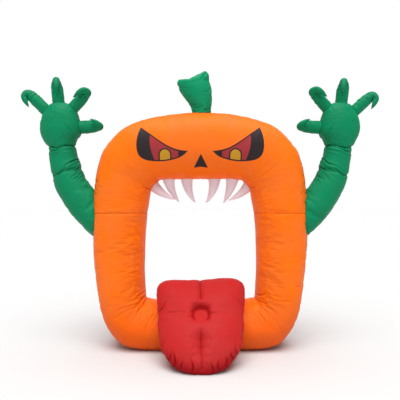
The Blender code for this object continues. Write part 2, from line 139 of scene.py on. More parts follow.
FINGERS = {
    "finger_outer": (
        # x, y, z, radius
        (1.490, 0.000, 2.292, 0.052),
        (1.544, 0.000, 2.348, 0.057),
        (1.600, 0.000, 2.406, 0.058),
        (1.654, -0.004, 2.460, 0.057),
        (1.697, -0.014, 2.498, 0.049),
        (1.725, -0.028, 2.503, 0.037),
        (1.741, -0.042, 2.473, 0.029),
        (1.722, -0.052, 2.425, 0.022),
        (1.690, -0.056, 2.364, 0.002),
    ),
    "finger_middle": (
        (1.403, 0.000, 2.352, 0.052),
        (1.410, 0.000, 2.412, 0.059),
        (1.418, 0.000, 2.482, 0.060),
        (1.428, 0.000, 2.556, 0.059),
        (1.432, -0.010, 2.606, 0.050),
        (1.420, -0.052, 2.630, 0.036),
        (1.406, -0.094, 2.590, 0.027),
        (1.400, -0.106, 2.542, 0.018),
        (1.400, -0.098, 2.485, 0.002),
    ),
    "finger_inner": (
        (1.314, 0.000, 2.320, 0.052),
        (1.270, 0.000, 2.368, 0.057),
        (1.227, 0.000, 2.416, 0.058),
        (1.182, -0.002, 2.464, 0.057),
        (1.144, -0.016, 2.500, 0.050),
        (1.117, -0.046, 2.514, 0.039),
        (1.146, -0.080, 2.525, 0.032),
        (1.194, -0.096, 2.497, 0.023),
        (1.246, -0.096, 2.452, 0.002),
    ),
    "thumb": (
        (1.270, 0.000, 2.177, 0.058),
        (1.205, 0.000, 2.178, 0.063),
        (1.145, 0.000, 2.180, 0.064),
        (1.085, -0.002, 2.183, 0.062),
        (1.030, -0.014, 2.184, 0.053),
        (0.996, -0.046, 2.180, 0.039),
        (1.003, -0.080, 2.198, 0.030),
        (1.035, -0.094, 2.214, 0.020),
        (1.081, -0.092, 2.228, 0.002),
    ),
}
DROOP_RIGHT = {"finger_outer": 0.020, "finger_middle": 0.012, "finger_inner": -0.008, "thumb": 0.0}

FANG_ROWS = (
    # root_x, root_z, middle_x, middle_z, tip_x, tip_z, width, tip_y
    (-0.457, 1.586, -0.372, 1.498, -0.234, 1.454, 0.114, -0.068),
    (-0.310, 1.652, -0.303, 1.557, -0.208, 1.427, 0.122, 0.020),
    (-0.132, 1.665, -0.129, 1.541, -0.047, 1.423, 0.127, 0.000),
    (0.142, 1.665, 0.148, 1.540, 0.059, 1.420, 0.129, 0.000),
    (0.322, 1.649, 0.305, 1.543, 0.236, 1.420, 0.127, 0.020),
    (0.480, 1.590, 0.408, 1.498, 0.282, 1.446, 0.111, -0.040),
)
FANG_ROOT_DEPTH = 0.07
FANG_FLATNESS = 0.85
FANG_TAPER = 0.72

TONGUE_TOP = (-0.130, 0.664)  # y, z of its top edge
TONGUE_TIP = (-0.778, 0.005)  # y, z of its lowest edge
TONGUE_SHIFT = 0.008
TONGUE_MIDDLE = 0.47  # share of the way from the top edge to the tip
TONGUE_HALF_WIDTH = 0.388
TONGUE_WIDER_TOP = 0.036
TONGUE_RIGHT_RISE = 0.022
TONGUE_HALF_DEPTH = 0.158
TONGUE_TOP_SQUARENESS = 8.5
TONGUE_TIP_SQUARENESS = 2.3
TONGUE_SWELL = (2.8, 0.62)

# ---------------------------------------------------------------- sizes of what only the looks have
CLOTH_STEP = 0.0085  # between the rows of a skin's grid
FINGER_STEP = 0.0042
COLUMNS = {"stem": 120, "arm": 96, "palm": 110, "finger": 56, "fang": 56, "tongue": 400}  # round each piece
SEAM_GROOVE = (0.0050, 0.0070)  # depth, half width
BELOW = 0.0006  # how far a sewn end stays outside what it is sewn to
STITCH_LIFT = 0.0008  # of the ring's stitches over its cloth
STITCH_SIZE = (0.0075, 0.0016)  # length, width
GROUND_CONTACT = 0.012  # cloth below this height lies on the ground, and stays there

STRIP_BULGES = (0.005, -0.004, 0.005, -0.004)  # of the strip that follows each seam, before the air fills it
STRIP_COLUMNS = (52, 34, 52, 20)  # the grid's columns in the strip that follows each seam
CROWDING = 0.6  # how much closer together the columns are at the seams
OPENING_SEAMS = (1, 2)  # the seams along both edges of the strip that lines the opening
OPENING_SEAM_TURN = ((0.2575, 0.3260), (-3.0, 8.5))  # the tube's half width, and degrees towards the opening
OPENING_RIDGE = (0.008, 0.045)  # height and reach of the edge along the opening's seams
LEG_FULLNESS = 0.007  # how much fuller the opening's strip stands on the legs than on the beams
LEGS_FROM = (0.44, 0.54)  # the beams turn into the legs between these distances from the middle
CLAW_LIFT = {"thumb": (0.008, 0.018)}  # of a finger's last two rows, which the solid has lower

SEWN_LINE = 0.0035  # half width of the darker line along the ring's lengthwise seams
THIN_LINE = 0.003  # and along every other seam

# How the ring is sewn. Puckers are a pitch along the seam, a reach to both sides of it and a height.
OUTER_SEAM = (0.0034, (0.034, 0.055, 0.0048), 0.8)  # depth of its groove, puckers, darkness
OPENING_SEAM = (0.0024, (0.034, 0.055, 0.0030), 0.45)
WIDE_PUCKERS = (0.110, 0.170, 0.0040)
LEVEL_PUCKERS = (0.040, 0.050, 0.0040)
LEVEL_WIDE_PUCKERS = (0.150, 0.110, 0.0035)
JOIN_PUCKERS = (0.034, 0.045, 0.003)  # where the ends of the opening's strip meet
LEVEL_GROOVE = (0.0008, 0.006)  # depth, half width

# The air that fills each piece: how the cloth resists it, in a simulation of a few steps.
AIR_STEPS = 10
AIR = {
    "quality": 3,
    "mass": 0.15,
    "air_damping": 2.0,
    "tension_stiffness": 15.0,
    "compression_stiffness": 6.0,
    "shear_stiffness": 5.0,
    "bending_stiffness": 1.0,
    "use_pressure": True,
    "uniform_pressure_force": 2.5,
}
SLACK = {"ring": 0.024, "tube": 0.030, "finger": 0.025, "fang": 0.020, "tongue": 0.024}
FURTHEST = {"ring": 0.008, "tube": 0.008, "palm": 0.007, "finger": 0.004, "fang": 0.004, "tongue": 0.006}


# ---------------------------------------------------------------- shared maths
def smooth_step(value, low, high):
    """0 up to low and 1 from high on, rising smoothly between them."""
    share = np.clip((value - low) / (high - low), 0.0, 1.0)
    return share * share * (3 - 2 * share)


def bell(away, width):
    """1 where away is 0, fading to almost nothing at twice the width."""
    return np.exp(-((away / width) ** 2))


def on_curve(rows, places, closed=False):
    """The rows at fractional places, on a smooth curve through all of them."""
    rows = np.asarray(rows, float)
    first = np.floor(places).astype(int)
    share = (places - first)[:, None]

    def row(offset):
        index = first + offset
        return rows[index % len(rows)] if closed else rows[np.clip(index, 0, len(rows) - 1)]

    before, start, end, after = (row(offset) for offset in (-1, 0, 1, 2))
    slope_in = (end - before) / 2
    slope_out = (after - start) / 2
    s2 = share * share
    s3 = s2 * share
    return (
        start * (2 * s3 - 3 * s2 + 1)
        + slope_in * (s3 - 2 * s2 + share)
        + end * (3 * s2 - 2 * s3)
        + slope_out * (s3 - s2)
    )


def noise(seed, x, y=0.0):
    """Smooth random values from -1 to 1 over two coordinates, changing within about one unit."""
    table = np.random.default_rng(seed).uniform(-1, 1, (128, 128))
    x, y = np.broadcast_arrays(np.asarray(x, float), np.asarray(y, float))
    x0 = np.floor(x).astype(int)
    y0 = np.floor(y).astype(int)
    a = smooth_step(x - x0, 0, 1)
    b = smooth_step(y - y0, 0, 1)

    def corner(i, j):
        return table[(x0 + i) % 128, (y0 + j) % 128]

    near = corner(0, 0) * (1 - a) + corner(1, 0) * a
    far = corner(0, 1) * (1 - a) + corner(1, 1) * a
    return near * (1 - b) + far * b


def even_places(path, last_place, step):
    """Places from 0 to last_place, spaced evenly along a path given by a function of places."""
    fine = np.linspace(0, last_place, 1200)
    reach = np.concatenate(([0], np.cumsum(np.linalg.norm(np.diff(path(fine), axis=0), axis=1))))
    count = max(8, round(reach[-1] / step))
    return np.interp(np.linspace(0, reach[-1], count + 1), reach, fine)


def run_lengths(points, axis):
    """Distance along one axis of a grid of points, from its first row or column."""
    steps = np.linalg.norm(np.diff(points, axis=axis), axis=2)
    return np.concatenate((np.zeros_like(np.take(steps, [0], axis)), np.cumsum(steps, axis)), axis)


def outward_normals(points):
    """Unit normals of a grid whose columns close round it."""
    down = np.gradient(points, axis=0)
    wrapped = np.concatenate((points[:, -1:], points, points[:, :1]), axis=1)
    across = wrapped[:, 2:] - wrapped[:, :-2]
    normals = np.cross(down, across)
    normals /= np.maximum(np.linalg.norm(normals, axis=2, keepdims=True), 1e-12)
    middle = points.mean(axis=1, keepdims=True)
    if np.sum(normals * (points - middle)) < 0:
        normals = -normals
    return normals


# ---------------------------------------------------------------- how sewing shapes the cloth
def groove(away, depth=SEAM_GROOVE[0], width=SEAM_GROOVE[1]):
    """The dent that a seam pulls into the cloth."""
    return -depth * bell(away, width)


def puckers(seed, along, away, pitch, reach, height):
    """Small folds across a seam, deepest a little way from it and fading out unevenly."""
    drift = 0.35 * noise(seed + 3, along / pitch / 3, away / reach)
    fold = noise(seed, along / pitch + drift, 0.4 * away / reach)
    sharp = 1 - 2.2 * np.abs(noise(seed + 1, along / pitch * 0.8 + drift + 9.5, 0.3 * away / reach))
    fade = reach * (0.55 + 0.45 * noise(seed + 2, along / pitch / 2))
    near = bell(away, np.maximum(fade, 0.2 * reach)) * (1 - bell(away, 0.004))
    return height * (0.55 * fold + 0.45 * sharp) * near


def crease_lines(x, z, lines):
    """Sharp folds along straight lines in the picture plane, each with a soft lip on both sides."""
    total = np.zeros_like(x)
    for x0, z0, x1, z1, width, depth in lines:
        length = math.hypot(x1 - x0, z1 - z0)
        share = ((x - x0) * (x1 - x0) + (z - z0) * (z1 - z0)) / length**2
        side = ((x - x0) * (z1 - z0) - (z - z0) * (x1 - x0)) / length
        side = side + 0.010 * np.sin(5 * share + 40 * x0)
        inside = smooth_step(share, -0.08, 0.22) * (1 - smooth_step(share, 0.45, 1.08))
        dip = bell(side, width)
        lips = bell(np.abs(side) - 2.0 * width, 1.1 * width)
        total += depth * inside * (0.45 * lips - dip)
    return total


def fan(seed, centre, first_angle, last_angle, count, reach, depth, width):
    """Creases that spread from one corner, as crease_lines takes them."""
    random = np.random.default_rng(seed)
    lines = []
    for k in range(count):
        angle = math.radians(first_angle + (last_angle - first_angle) * (k + random.uniform(0.15, 0.85)) / count)
        start = random.uniform(0.0, 0.05)
        end = start + reach * random.uniform(0.25, 1.0)
        direction = np.array((math.cos(angle), math.sin(angle)))
        begin = np.array(centre) + direction * start
        finish = np.array(centre) + direction * end
        lines.append((*begin, *finish, width * random.uniform(0.7, 1.3), depth * random.uniform(0.3, 1.0)))
    return lines


# ---------------------------------------------------------------- making meshes
def skin(name, points, material, sewn=None, cap_first=None, cap_last=None, weld=False, laid_flat=None):
    """A closed mesh object from a grid of points whose columns close round it.

    Its UV map holds metres along and around the piece, or the places in laid_flat. sewn says how near each point
    is to a seam, and on the tongue also how much shade is painted on it. A cap is the point at which an end's
    triangles meet.
    """
    rows, columns = points.shape[:2]
    corners = points.reshape(-1, 3)
    ring = np.arange(columns)
    following = (ring + 1) % columns
    start = np.arange(rows - 1)[:, None] * columns
    quads = np.stack((start + ring, start + following, start + columns + following, start + columns + ring), axis=2)
    quads = quads.reshape(-1, 4)
    closed = np.concatenate((points, points[:, :1]), axis=1)
    along = run_lengths(closed, 0).mean(axis=1, keepdims=True) * np.ones((1, columns + 1))
    around = run_lengths(closed, 1)
    around = around - around[:, -1:] / 2
    metres = np.stack((along, around), axis=2)
    if laid_flat is not None:
        metres = np.concatenate((laid_flat, laid_flat[:, :1]), axis=1)
    quad_uv = np.stack((metres[:-1, :-1], metres[:-1, 1:], metres[1:, 1:], metres[1:, :-1]), axis=2).reshape(-1, 4, 2)

    faces = [quads]
    uvs = [quad_uv.reshape(-1, 2)]
    for cap, row in ((cap_first, 0), (cap_last, rows - 1)):
        if cap is None:
            continue
        corners = np.vstack((corners, cap))
        centre = len(corners) - 1
        base = row * columns
        order = (following, ring) if row == 0 else (ring, following)
        triangles = np.stack((base + order[0], base + order[1], np.full(columns, centre)), axis=1)
        faces.append(triangles)
        triangle_uv = np.stack((metres[row, order[0]], metres[row, order[1]], metres[row, ring]), axis=1)
        uvs.append(triangle_uv.reshape(-1, 2))

    mesh = bpy.data.meshes.new(name)
    loops = np.concatenate([f.ravel() for f in faces])
    sizes = np.concatenate([np.full(len(f), f.shape[1]) for f in faces])
    mesh.vertices.add(len(corners))
    mesh.vertices.foreach_set("co", corners.ravel().astype(np.float32))
    mesh.loops.add(len(loops))
    mesh.loops.foreach_set("vertex_index", loops.astype(np.int32))
    mesh.polygons.add(len(sizes))
    mesh.polygons.foreach_set("loop_start", np.concatenate(([0], np.cumsum(sizes)[:-1])).astype(np.int32))
    uv_layer = mesh.uv_layers.new(name="metres")
    uv_layer.data.foreach_set("uv", np.concatenate(uvs).ravel().astype(np.float32))
    if sewn is not None:
        values = np.concatenate((np.asarray(sewn, float).ravel(), np.zeros(len(corners) - rows * columns)))
        layer = mesh.attributes.new("sewn", "FLOAT", "POINT")
        layer.data.foreach_set("value", values.astype(np.float32))
    mesh.update(calc_edges=True)
    mesh.validate()
    point_out(mesh, weld)
    mesh.polygons.foreach_set("use_smooth", np.ones(len(mesh.polygons), bool))
    mesh.materials.append(material)
    piece = bpy.data.objects.new(name, mesh)
    bpy.context.scene.collection.objects.link(piece)
    return piece


def point_out(mesh, weld):
    """Turns a closed mesh the right way out, after joining doubled corners if it has them."""
    work = bmesh.new()
    work.from_mesh(mesh)
    if weld:
        bmesh.ops.remove_doubles(work, verts=work.verts, dist=2e-5)
    if work.calc_volume(signed=True) < 0:
        bmesh.ops.reverse_faces(work, faces=work.faces)
    work.to_mesh(mesh)
    work.free()


def inflated(points, held_columns, slack, furthest, held_too=None, ends=None):
    """The grid after a short cloth simulation: air pressure fills cloth that is longer than its seams by slack.

    The seams, both ends and what held_too marks stay still, and no other point moves further than furthest.
    """
    rows, columns = points.shape[:2]
    ends = ends or (points[0].mean(axis=0), points[-1].mean(axis=0))
    piece = skin("air_filled", points, None, None, *ends)
    group = piece.vertex_groups.new(name="held")
    held = np.zeros((rows, columns), bool)
    held[:, list(held_columns)] = True
    held[[0, -1]] = True
    if held_too is not None:
        held |= held_too
    still = np.flatnonzero(held.ravel())
    group.add([int(k) for k in still] + [rows * columns, rows * columns + 1], 1.0, "REPLACE")
    cloth = piece.modifiers.new("air", "CLOTH")
    for setting, value in AIR.items():
        setattr(cloth.settings, setting, value)
    cloth.settings.vertex_group_mass = "held"
    cloth.settings.shrink_min = -slack
    cloth.settings.effector_weights.gravity = 0.0
    cloth.collision_settings.use_collision = False
    cloth.collision_settings.use_self_collision = False
    cloth.point_cache.frame_start = 1
    cloth.point_cache.frame_end = AIR_STEPS
    scene = bpy.context.scene
    for frame_number in range(1, AIR_STEPS + 1):
        scene.frame_set(frame_number)
    shaped = piece.evaluated_get(bpy.context.evaluated_depsgraph_get()).data
    moved = np.empty(len(shaped.vertices) * 3)
    shaped.vertices.foreach_get("co", moved)
    moved = moved.reshape(-1, 3)[: rows * columns].reshape(points.shape) - points
    bpy.data.objects.remove(piece)
    scene.frame_set(1)
    length = np.linalg.norm(moved, axis=2, keepdims=True)
    moved *= furthest * np.tanh(length / furthest) / np.maximum(length, 1e-9)
    return points + moved


def surface_tree(pieces):
    """The surfaces of several pieces, for finding the nearest place on them."""
    corners = []
    faces = []
    for piece in pieces:
        offset = len(corners)
        corners += [v.co.copy() for v in piece.data.vertices]
        faces += [[offset + i for i in polygon.vertices] for polygon in piece.data.polygons]
    return BVHTree.FromPolygons(corners, faces)


def height_over(tree, point):
    """Signed distance from a surface, less than zero inside it, with the nearest place and its normal."""
    place, normal, _, distance = tree.find_nearest(Vector(point))
    offset = Vector(point) - place
    return (distance if offset.dot(normal) >= 0 else -distance), place, normal


def trimmed_to(points, tree):
    """A swept grid shortened column by column, so that its last row lies on another piece's surface."""
    rows, columns = points.shape[:2]
    cut = np.empty_like(points)
    for column in range(columns):
        line = points[:, column]
        last = rows - 1
        for row in range(rows - 1, -1, -1):
            last = row
            if height_over(tree, line[row])[0] > BELOW:
                break
        end = float(last)
        if last < rows - 1:
            high = height_over(tree, line[last])[0]
            low = height_over(tree, line[last + 1])[0]
            end = last + (high - BELOW) / max(high - low, 1e-9)
        places = np.linspace(0, end, rows)
        base = np.clip(np.floor(places).astype(int), 0, rows - 2)
        share = (places - base)[:, None]
        cut[:, column] = line[base] * (1 - share) + line[base + 1] * share
    return cut


# ---------------------------------------------------------------- materials
def new_group(name, inputs, outputs):
    """A shader node group with its named sockets, each input with what it holds when nothing is set."""
    group = bpy.data.node_groups.new(name, "ShaderNodeTree")
    for label, kind, value in inputs:
        socket = group.interface.new_socket(label, in_out="INPUT", socket_type=kind)
        if value is not None:
            socket.default_value = value
    for label, kind in outputs:
        group.interface.new_socket(label, in_out="OUTPUT", socket_type=kind)
    return group


class Wiring:
    """Short calls for laying out shader nodes in one tree."""

    def __init__(self, tree):
        self.tree = tree

    def node(self, kind, **settings):
        made = self.tree.nodes.new(kind)
        for name, value in settings.items():
            setattr(made, name, value)
        return made

    def link(self, value, socket):
        if isinstance(value, bpy.types.NodeSocket):
            self.tree.links.new(value, socket)
        else:
            socket.default_value = value

    def math(self, operation, *values, clamp=False):
        made = self.node("ShaderNodeMath", operation=operation, use_clamp=clamp)
        for value, socket in zip(values, made.inputs):
            self.link(value, socket)
        return made.outputs[0]

    def add(self, a, b):
        return self.math("ADD", a, b)

    def less(self, a, b):
        return self.math("SUBTRACT", a, b)

    def times(self, a, b):
        return self.math("MULTIPLY", a, b)

    def distance(self, x, z, centre_x, centre_z):
        dx = self.less(x, centre_x)
        dz = self.less(z, centre_z)
        return self.math("SQRT", self.add(self.times(dx, dx), self.times(dz, dz)))

    def ramp(self, value, low, high):
        made = self.node("ShaderNodeMapRange", interpolation_type="SMOOTHSTEP")
        self.link(value, made.inputs["Value"])
        made.inputs["From Min"].default_value = low
        made.inputs["From Max"].default_value = high
        return made.outputs["Result"]

    def mix_colour(self, share, first, second):
        made = self.node("ShaderNodeMix", data_type="RGBA")
        self.link(share, made.inputs[0])
        self.link(first, made.inputs[6])
        self.link(second, made.inputs[7])
        return made.outputs[2]


WEAVE_HEIGHT = 0.00006
CRINKLES = (42.0, 6.0, 3.0)  # how many in a metre along and around the piece, and the noise's detail
RIPPLES = (11.0, 3.5, 2.0)
RIPPLE_SHARE = 1.6  # how much higher than the crinkles
MOTTLE_SCALE = 5.0
ROUGHNESS = (0.44, 0.10)  # at least, and how much more where the dust lies


def cloth_group():
    """Thin coated cloth: plain weave, small crinkles across the seams, uneven colour, darker sewn lines and painted
    shade.
    """
    group = new_group(
        "coated_cloth",
        [
            ("Colour", "NodeSocketColor", (0.8, 0.8, 0.8, 1.0)),
            # the sewn lines' colour, also used for painted shade
            ("Sewn Colour", "NodeSocketColor", (0.4, 0.4, 0.4, 1.0)),
            ("Sewn Share", "NodeSocketFloat", 0.4),
            ("Weave Pitch", "NodeSocketFloat", 0.0016),
            ("Crinkle Height", "NodeSocketFloat", 0.0022),
        ],
        [("Colour", "NodeSocketColor"), ("Roughness", "NodeSocketFloat"), ("Normal", "NodeSocketVector")],
    )
    w = Wiring(group)
    given = w.node("NodeGroupInput").outputs
    metres = w.node("ShaderNodeUVMap", uv_map="metres").outputs[0]
    split = w.node("ShaderNodeSeparateXYZ")
    w.link(metres, split.inputs[0])
    along, around = split.outputs[0], split.outputs[1]

    # Plain weave: threads along and around, each a row of small humps.
    per_thread = w.math("DIVIDE", 2 * math.pi, given["Weave Pitch"])
    warp = w.math("SINE", w.times(along, per_thread))
    weft = w.math("SINE", w.times(around, per_thread))
    weave = w.times(w.times(warp, weft), WEAVE_HEIGHT)

    # Crinkles: short along the piece, long round it.
    def stretched(scale_along, scale_around, detail):
        place = w.node("ShaderNodeCombineXYZ")
        w.link(w.times(along, scale_along), place.inputs[0])
        w.link(w.times(around, scale_around), place.inputs[1])
        texture = w.node("ShaderNodeTexNoise", noise_dimensions="3D")
        texture.inputs["Scale"].default_value = 1.0
        texture.inputs["Detail"].default_value = detail
        texture.inputs["Roughness"].default_value = 0.55
        w.link(place.outputs[0], texture.inputs["Vector"])
        return texture.outputs["Fac"]

    crinkles = w.times(stretched(*CRINKLES), given["Crinkle Height"])
    ripples = w.times(stretched(*RIPPLES), w.times(given["Crinkle Height"], RIPPLE_SHARE))
    height = w.add(w.add(crinkles, ripples), weave)
    bump = w.node("ShaderNodeBump")
    bump.inputs["Strength"].default_value = 0.6
    bump.inputs["Distance"].default_value = 1.0
    w.link(height, bump.inputs["Height"])

    # Uneven dye and dust, and the sewn lines, whose attribute and colour also carry the tongue's painted shade.
    coordinates = w.node("ShaderNodeTexCoord").outputs["Object"]
    mottle = w.node("ShaderNodeTexNoise")
    mottle.inputs["Scale"].default_value = MOTTLE_SCALE
    mottle.inputs["Detail"].default_value = 5.0
    w.link(coordinates, mottle.inputs["Vector"])
    paler = w.node("ShaderNodeHueSaturation")
    w.link(given["Colour"], paler.inputs["Color"])
    w.link(w.ramp(mottle.outputs["Fac"], 0.3, 0.7), paler.inputs["Fac"])
    paler.inputs["Value"].default_value = 0.955
    paler.inputs["Saturation"].default_value = 0.985
    sewn = w.node("ShaderNodeAttribute", attribute_name="sewn")
    share = w.times(w.ramp(sewn.outputs["Fac"], 0.15, 0.95), given["Sewn Share"])
    colour = w.mix_colour(share, paler.outputs[0], given["Sewn Colour"])
    given_out = w.node("NodeGroupOutput")
    w.link(colour, given_out.inputs["Colour"])
    roughness = w.add(w.times(mottle.outputs["Fac"], ROUGHNESS[1]), ROUGHNESS[0])
    w.link(roughness, given_out.inputs["Roughness"])
    w.link(bump.outputs[0], given_out.inputs["Normal"])
    return group


EYE_MIDDLE_X = 0.002  # the eyes mirror about this line
PRINT_BLACK = (0.030, 0.021, 0.023, 1.0)
PRINT_RED = (0.38, 0.036, 0.042, 1.0)
PRINT_YELLOW = (0.60, 0.31, 0.014, 1.0)
PRINT_LINE = 0.0125  # width of the black outline
PRINT_EDGE = 0.0015  # how softly one ink meets the next
PAINTED_SHADE_ORANGE = (0.84, 0.108, 0.0012, 1.0)  # painted shade: the ring's cloth darkens to this orange towards the bottom
# the painted shade fades out upwards between these heights
PAINTED_SHADE_HEIGHTS = (0.02, 0.68)


def print_and_low_shade_group():
    """The print on the front of the ring: two slanted eyes and a nose, built from arcs and lines, over painted shade
    that darkens the ring's cloth towards the bottom.

    Each shape is how far inside it a place is, in metres. side is the distance from the eyes' mirror line.
    """
    group = new_group(
        "face_print_and_painted_shade",
        [("Place", "NodeSocketVector", None), ("Cloth", "NodeSocketColor", (0.9, 0.2, 0.02, 1.0))],
        [("Colour", "NodeSocketColor")],
    )
    w = Wiring(group)
    given = w.node("NodeGroupInput").outputs
    split = w.node("ShaderNodeSeparateXYZ")
    w.link(given["Place"], split.inputs[0])
    x, y, z = split.outputs
    side = w.math("ABSOLUTE", w.less(x, EYE_MIDDLE_X))
    on_front = w.ramp(w.times(y, -1.0), 0.05, 0.06)

    def circle(centre_side, centre_z, radius):
        return w.less(radius, w.distance(side, z, centre_side, centre_z))

    def below_line(at_side, at_z, slope):
        return w.less(w.add(w.times(w.less(side, at_side), slope), at_z), z)

    # The brow is level towards the nose and climbs steeply towards the outer tip.
    brow = w.math("SMOOTH_MAX", below_line(0.1137, 1.9093, 0.03), below_line(0.5527, 2.1328, 0.735), 0.141)
    brow = w.times(brow, 0.84)
    lower_lid = circle(0.400, 2.4355, 0.620)
    inner_tip = w.add(w.times(w.less(side, 0.1137), 0.69), w.times(w.less(z, 1.9101), 0.72))
    outer_edge = circle(0.200, 1.975, 0.399)
    lids = w.math("SMOOTH_MIN", w.math("SMOOTH_MIN", lower_lid, inner_tip, 0.03), outer_edge, 0.10)
    eye = w.math("SMOOTH_MIN", lids, brow, 0.008)

    iris_outer = circle(0.0, 2.03, 0.475)
    iris_inner = w.less(side, 0.205)
    outlined = w.less(eye, PRINT_LINE)
    iris = w.math("MINIMUM", w.math("MINIMUM", iris_outer, iris_inner), outlined)

    pupil_x = w.less(side, 0.331)
    pupil_z = w.math("MAXIMUM", w.less(z, 1.876), 0.0)
    from_pupil = w.math("SQRT", w.add(w.times(pupil_x, pupil_x), w.times(pupil_z, pupil_z)))
    pupil = w.math("MINIMUM", w.less(0.048, from_pupil), w.times(outlined, 1.4))
    pupil_outline = w.less(0.048 + PRINT_LINE, from_pupil)

    nose_side = w.math("ABSOLUTE", w.less(x, 0.008))
    nose_slant = w.less(w.times(w.less(1.8840, z), 0.4697), w.times(nose_side, 0.8829))
    bow = w.math("MINIMUM", w.times(w.times(nose_side, nose_side), 2.6), 0.012)
    nose_base = w.add(w.less(z, 1.7660), bow)
    nose = w.math("SMOOTH_MIN", nose_slant, nose_base, 0.02)

    def ink(inside, below, colour):
        share = w.times(w.ramp(inside, -PRINT_EDGE, PRINT_EDGE), on_front)
        return w.mix_colour(share, below, colour)

    # The cloth under the print, with painted shade that darkens it towards the bottom.
    ground = w.mix_colour(w.ramp(z, *PAINTED_SHADE_HEIGHTS), PAINTED_SHADE_ORANGE, given["Cloth"])
    colour = ink(w.math("MAXIMUM", eye, nose), ground, PRINT_BLACK)
    colour = ink(iris, colour, PRINT_RED)
    colour = ink(w.math("MINIMUM", pupil_outline, eye), colour, PRINT_BLACK)
    colour = ink(pupil, colour, PRINT_YELLOW)
    w.link(colour, w.node("NodeGroupOutput").inputs["Colour"])
    return group


def cloth_material(name, colour, sewn, sewn_share, crinkle, gloss, group, face=None):
    material = bpy.data.materials.new(name)
    material.use_nodes = True
    w = Wiring(material.node_tree)
    shader = material.node_tree.nodes["Principled BSDF"]
    cloth = w.node("ShaderNodeGroup", node_tree=group)
    cloth.inputs["Sewn Colour"].default_value = (*sewn, 1.0)
    cloth.inputs["Sewn Share"].default_value = sewn_share
    cloth.inputs["Crinkle Height"].default_value = crinkle
    if face:
        inked = w.node("ShaderNodeGroup", node_tree=face)
        inked.inputs["Cloth"].default_value = (*colour, 1.0)
        w.link(w.node("ShaderNodeTexCoord").outputs["Object"], inked.inputs["Place"])
        w.link(inked.outputs["Colour"], cloth.inputs["Colour"])
    else:
        cloth.inputs["Colour"].default_value = (*colour, 1.0)
    w.link(cloth.outputs["Colour"], shader.inputs["Base Color"])
    w.link(cloth.outputs["Roughness"], shader.inputs["Roughness"])
    w.link(cloth.outputs["Normal"], shader.inputs["Normal"])
    shader.inputs["Specular IOR Level"].default_value = gloss
    return material


def thread_material(name, colour):
    material = bpy.data.materials.new(name)
    material.use_nodes = True
    w = Wiring(material.node_tree)
    shader = material.node_tree.nodes["Principled BSDF"]
    place = w.node("ShaderNodeTexCoord").outputs["Object"]
    twist = w.node("ShaderNodeTexNoise")
    twist.inputs["Scale"].default_value = 900.0
    w.link(place, twist.inputs["Vector"])
    paler = tuple(min(1.0, channel * 1.25 + 0.01) for channel in colour)
    w.link(w.mix_colour(twist.outputs["Fac"], (*colour, 1.0), (*paler, 1.0)), shader.inputs["Base Color"])
    shader.inputs["Roughness"].default_value = 0.7
    shader.inputs["Specular IOR Level"].default_value = 0.15
    return material


# ---------------------------------------------------------------- stitches
def stitch_tree():
    """Geometry Nodes: a short rounded stitch at even steps along every curve."""
    tree = bpy.data.node_groups.new("stitch_rows", "GeometryNodeTree")
    tree.interface.new_socket("Seams", in_out="INPUT", socket_type="NodeSocketGeometry")
    for label, kind in (
        ("Spacing", "NodeSocketFloat"),
        ("Stitch Length", "NodeSocketFloat"),
        ("Stitch Width", "NodeSocketFloat"),
        ("Thread", "NodeSocketMaterial"),
    ):
        tree.interface.new_socket(label, in_out="INPUT", socket_type=kind)
    tree.interface.new_socket("Stitches", in_out="OUTPUT", socket_type="NodeSocketGeometry")
    nodes = tree.nodes
    link = tree.links.new
    given = nodes.new("NodeGroupInput").outputs
    even = nodes.new("GeometryNodeResampleCurve")
    even.mode = "LENGTH"
    link(given["Seams"], even.inputs["Curve"])
    link(given["Spacing"], even.inputs["Length"])
    bead = nodes.new("GeometryNodeMeshUVSphere")
    bead.inputs["Segments"].default_value = 6
    bead.inputs["Rings"].default_value = 4
    bead.inputs["Radius"].default_value = 0.5
    size = nodes.new("ShaderNodeCombineXYZ")
    link(given["Stitch Width"], size.inputs[0])
    link(given["Stitch Width"], size.inputs[1])
    link(given["Stitch Length"], size.inputs[2])
    tangent = nodes.new("GeometryNodeInputTangent")
    turn = nodes.new("FunctionNodeAlignRotationToVector")
    turn.axis = "Z"
    link(tangent.outputs[0], turn.inputs["Vector"])
    lay = nodes.new("GeometryNodeInstanceOnPoints")
    link(even.outputs["Curve"], lay.inputs["Points"])
    link(bead.outputs["Mesh"], lay.inputs["Instance"])
    link(turn.outputs["Rotation"], lay.inputs["Rotation"])
    link(size.outputs[0], lay.inputs["Scale"])
    smooth = nodes.new("GeometryNodeSetShadeSmooth")
    real = nodes.new("GeometryNodeRealizeInstances")
    finish = nodes.new("GeometryNodeSetMaterial")
    link(lay.outputs[0], real.inputs[0])
    link(real.outputs[0], smooth.inputs["Geometry"])
    link(smooth.outputs[0], finish.inputs["Geometry"])
    link(given["Thread"], finish.inputs["Material"])
    link(finish.outputs[0], nodes.new("NodeGroupOutput").inputs[0])
    return tree


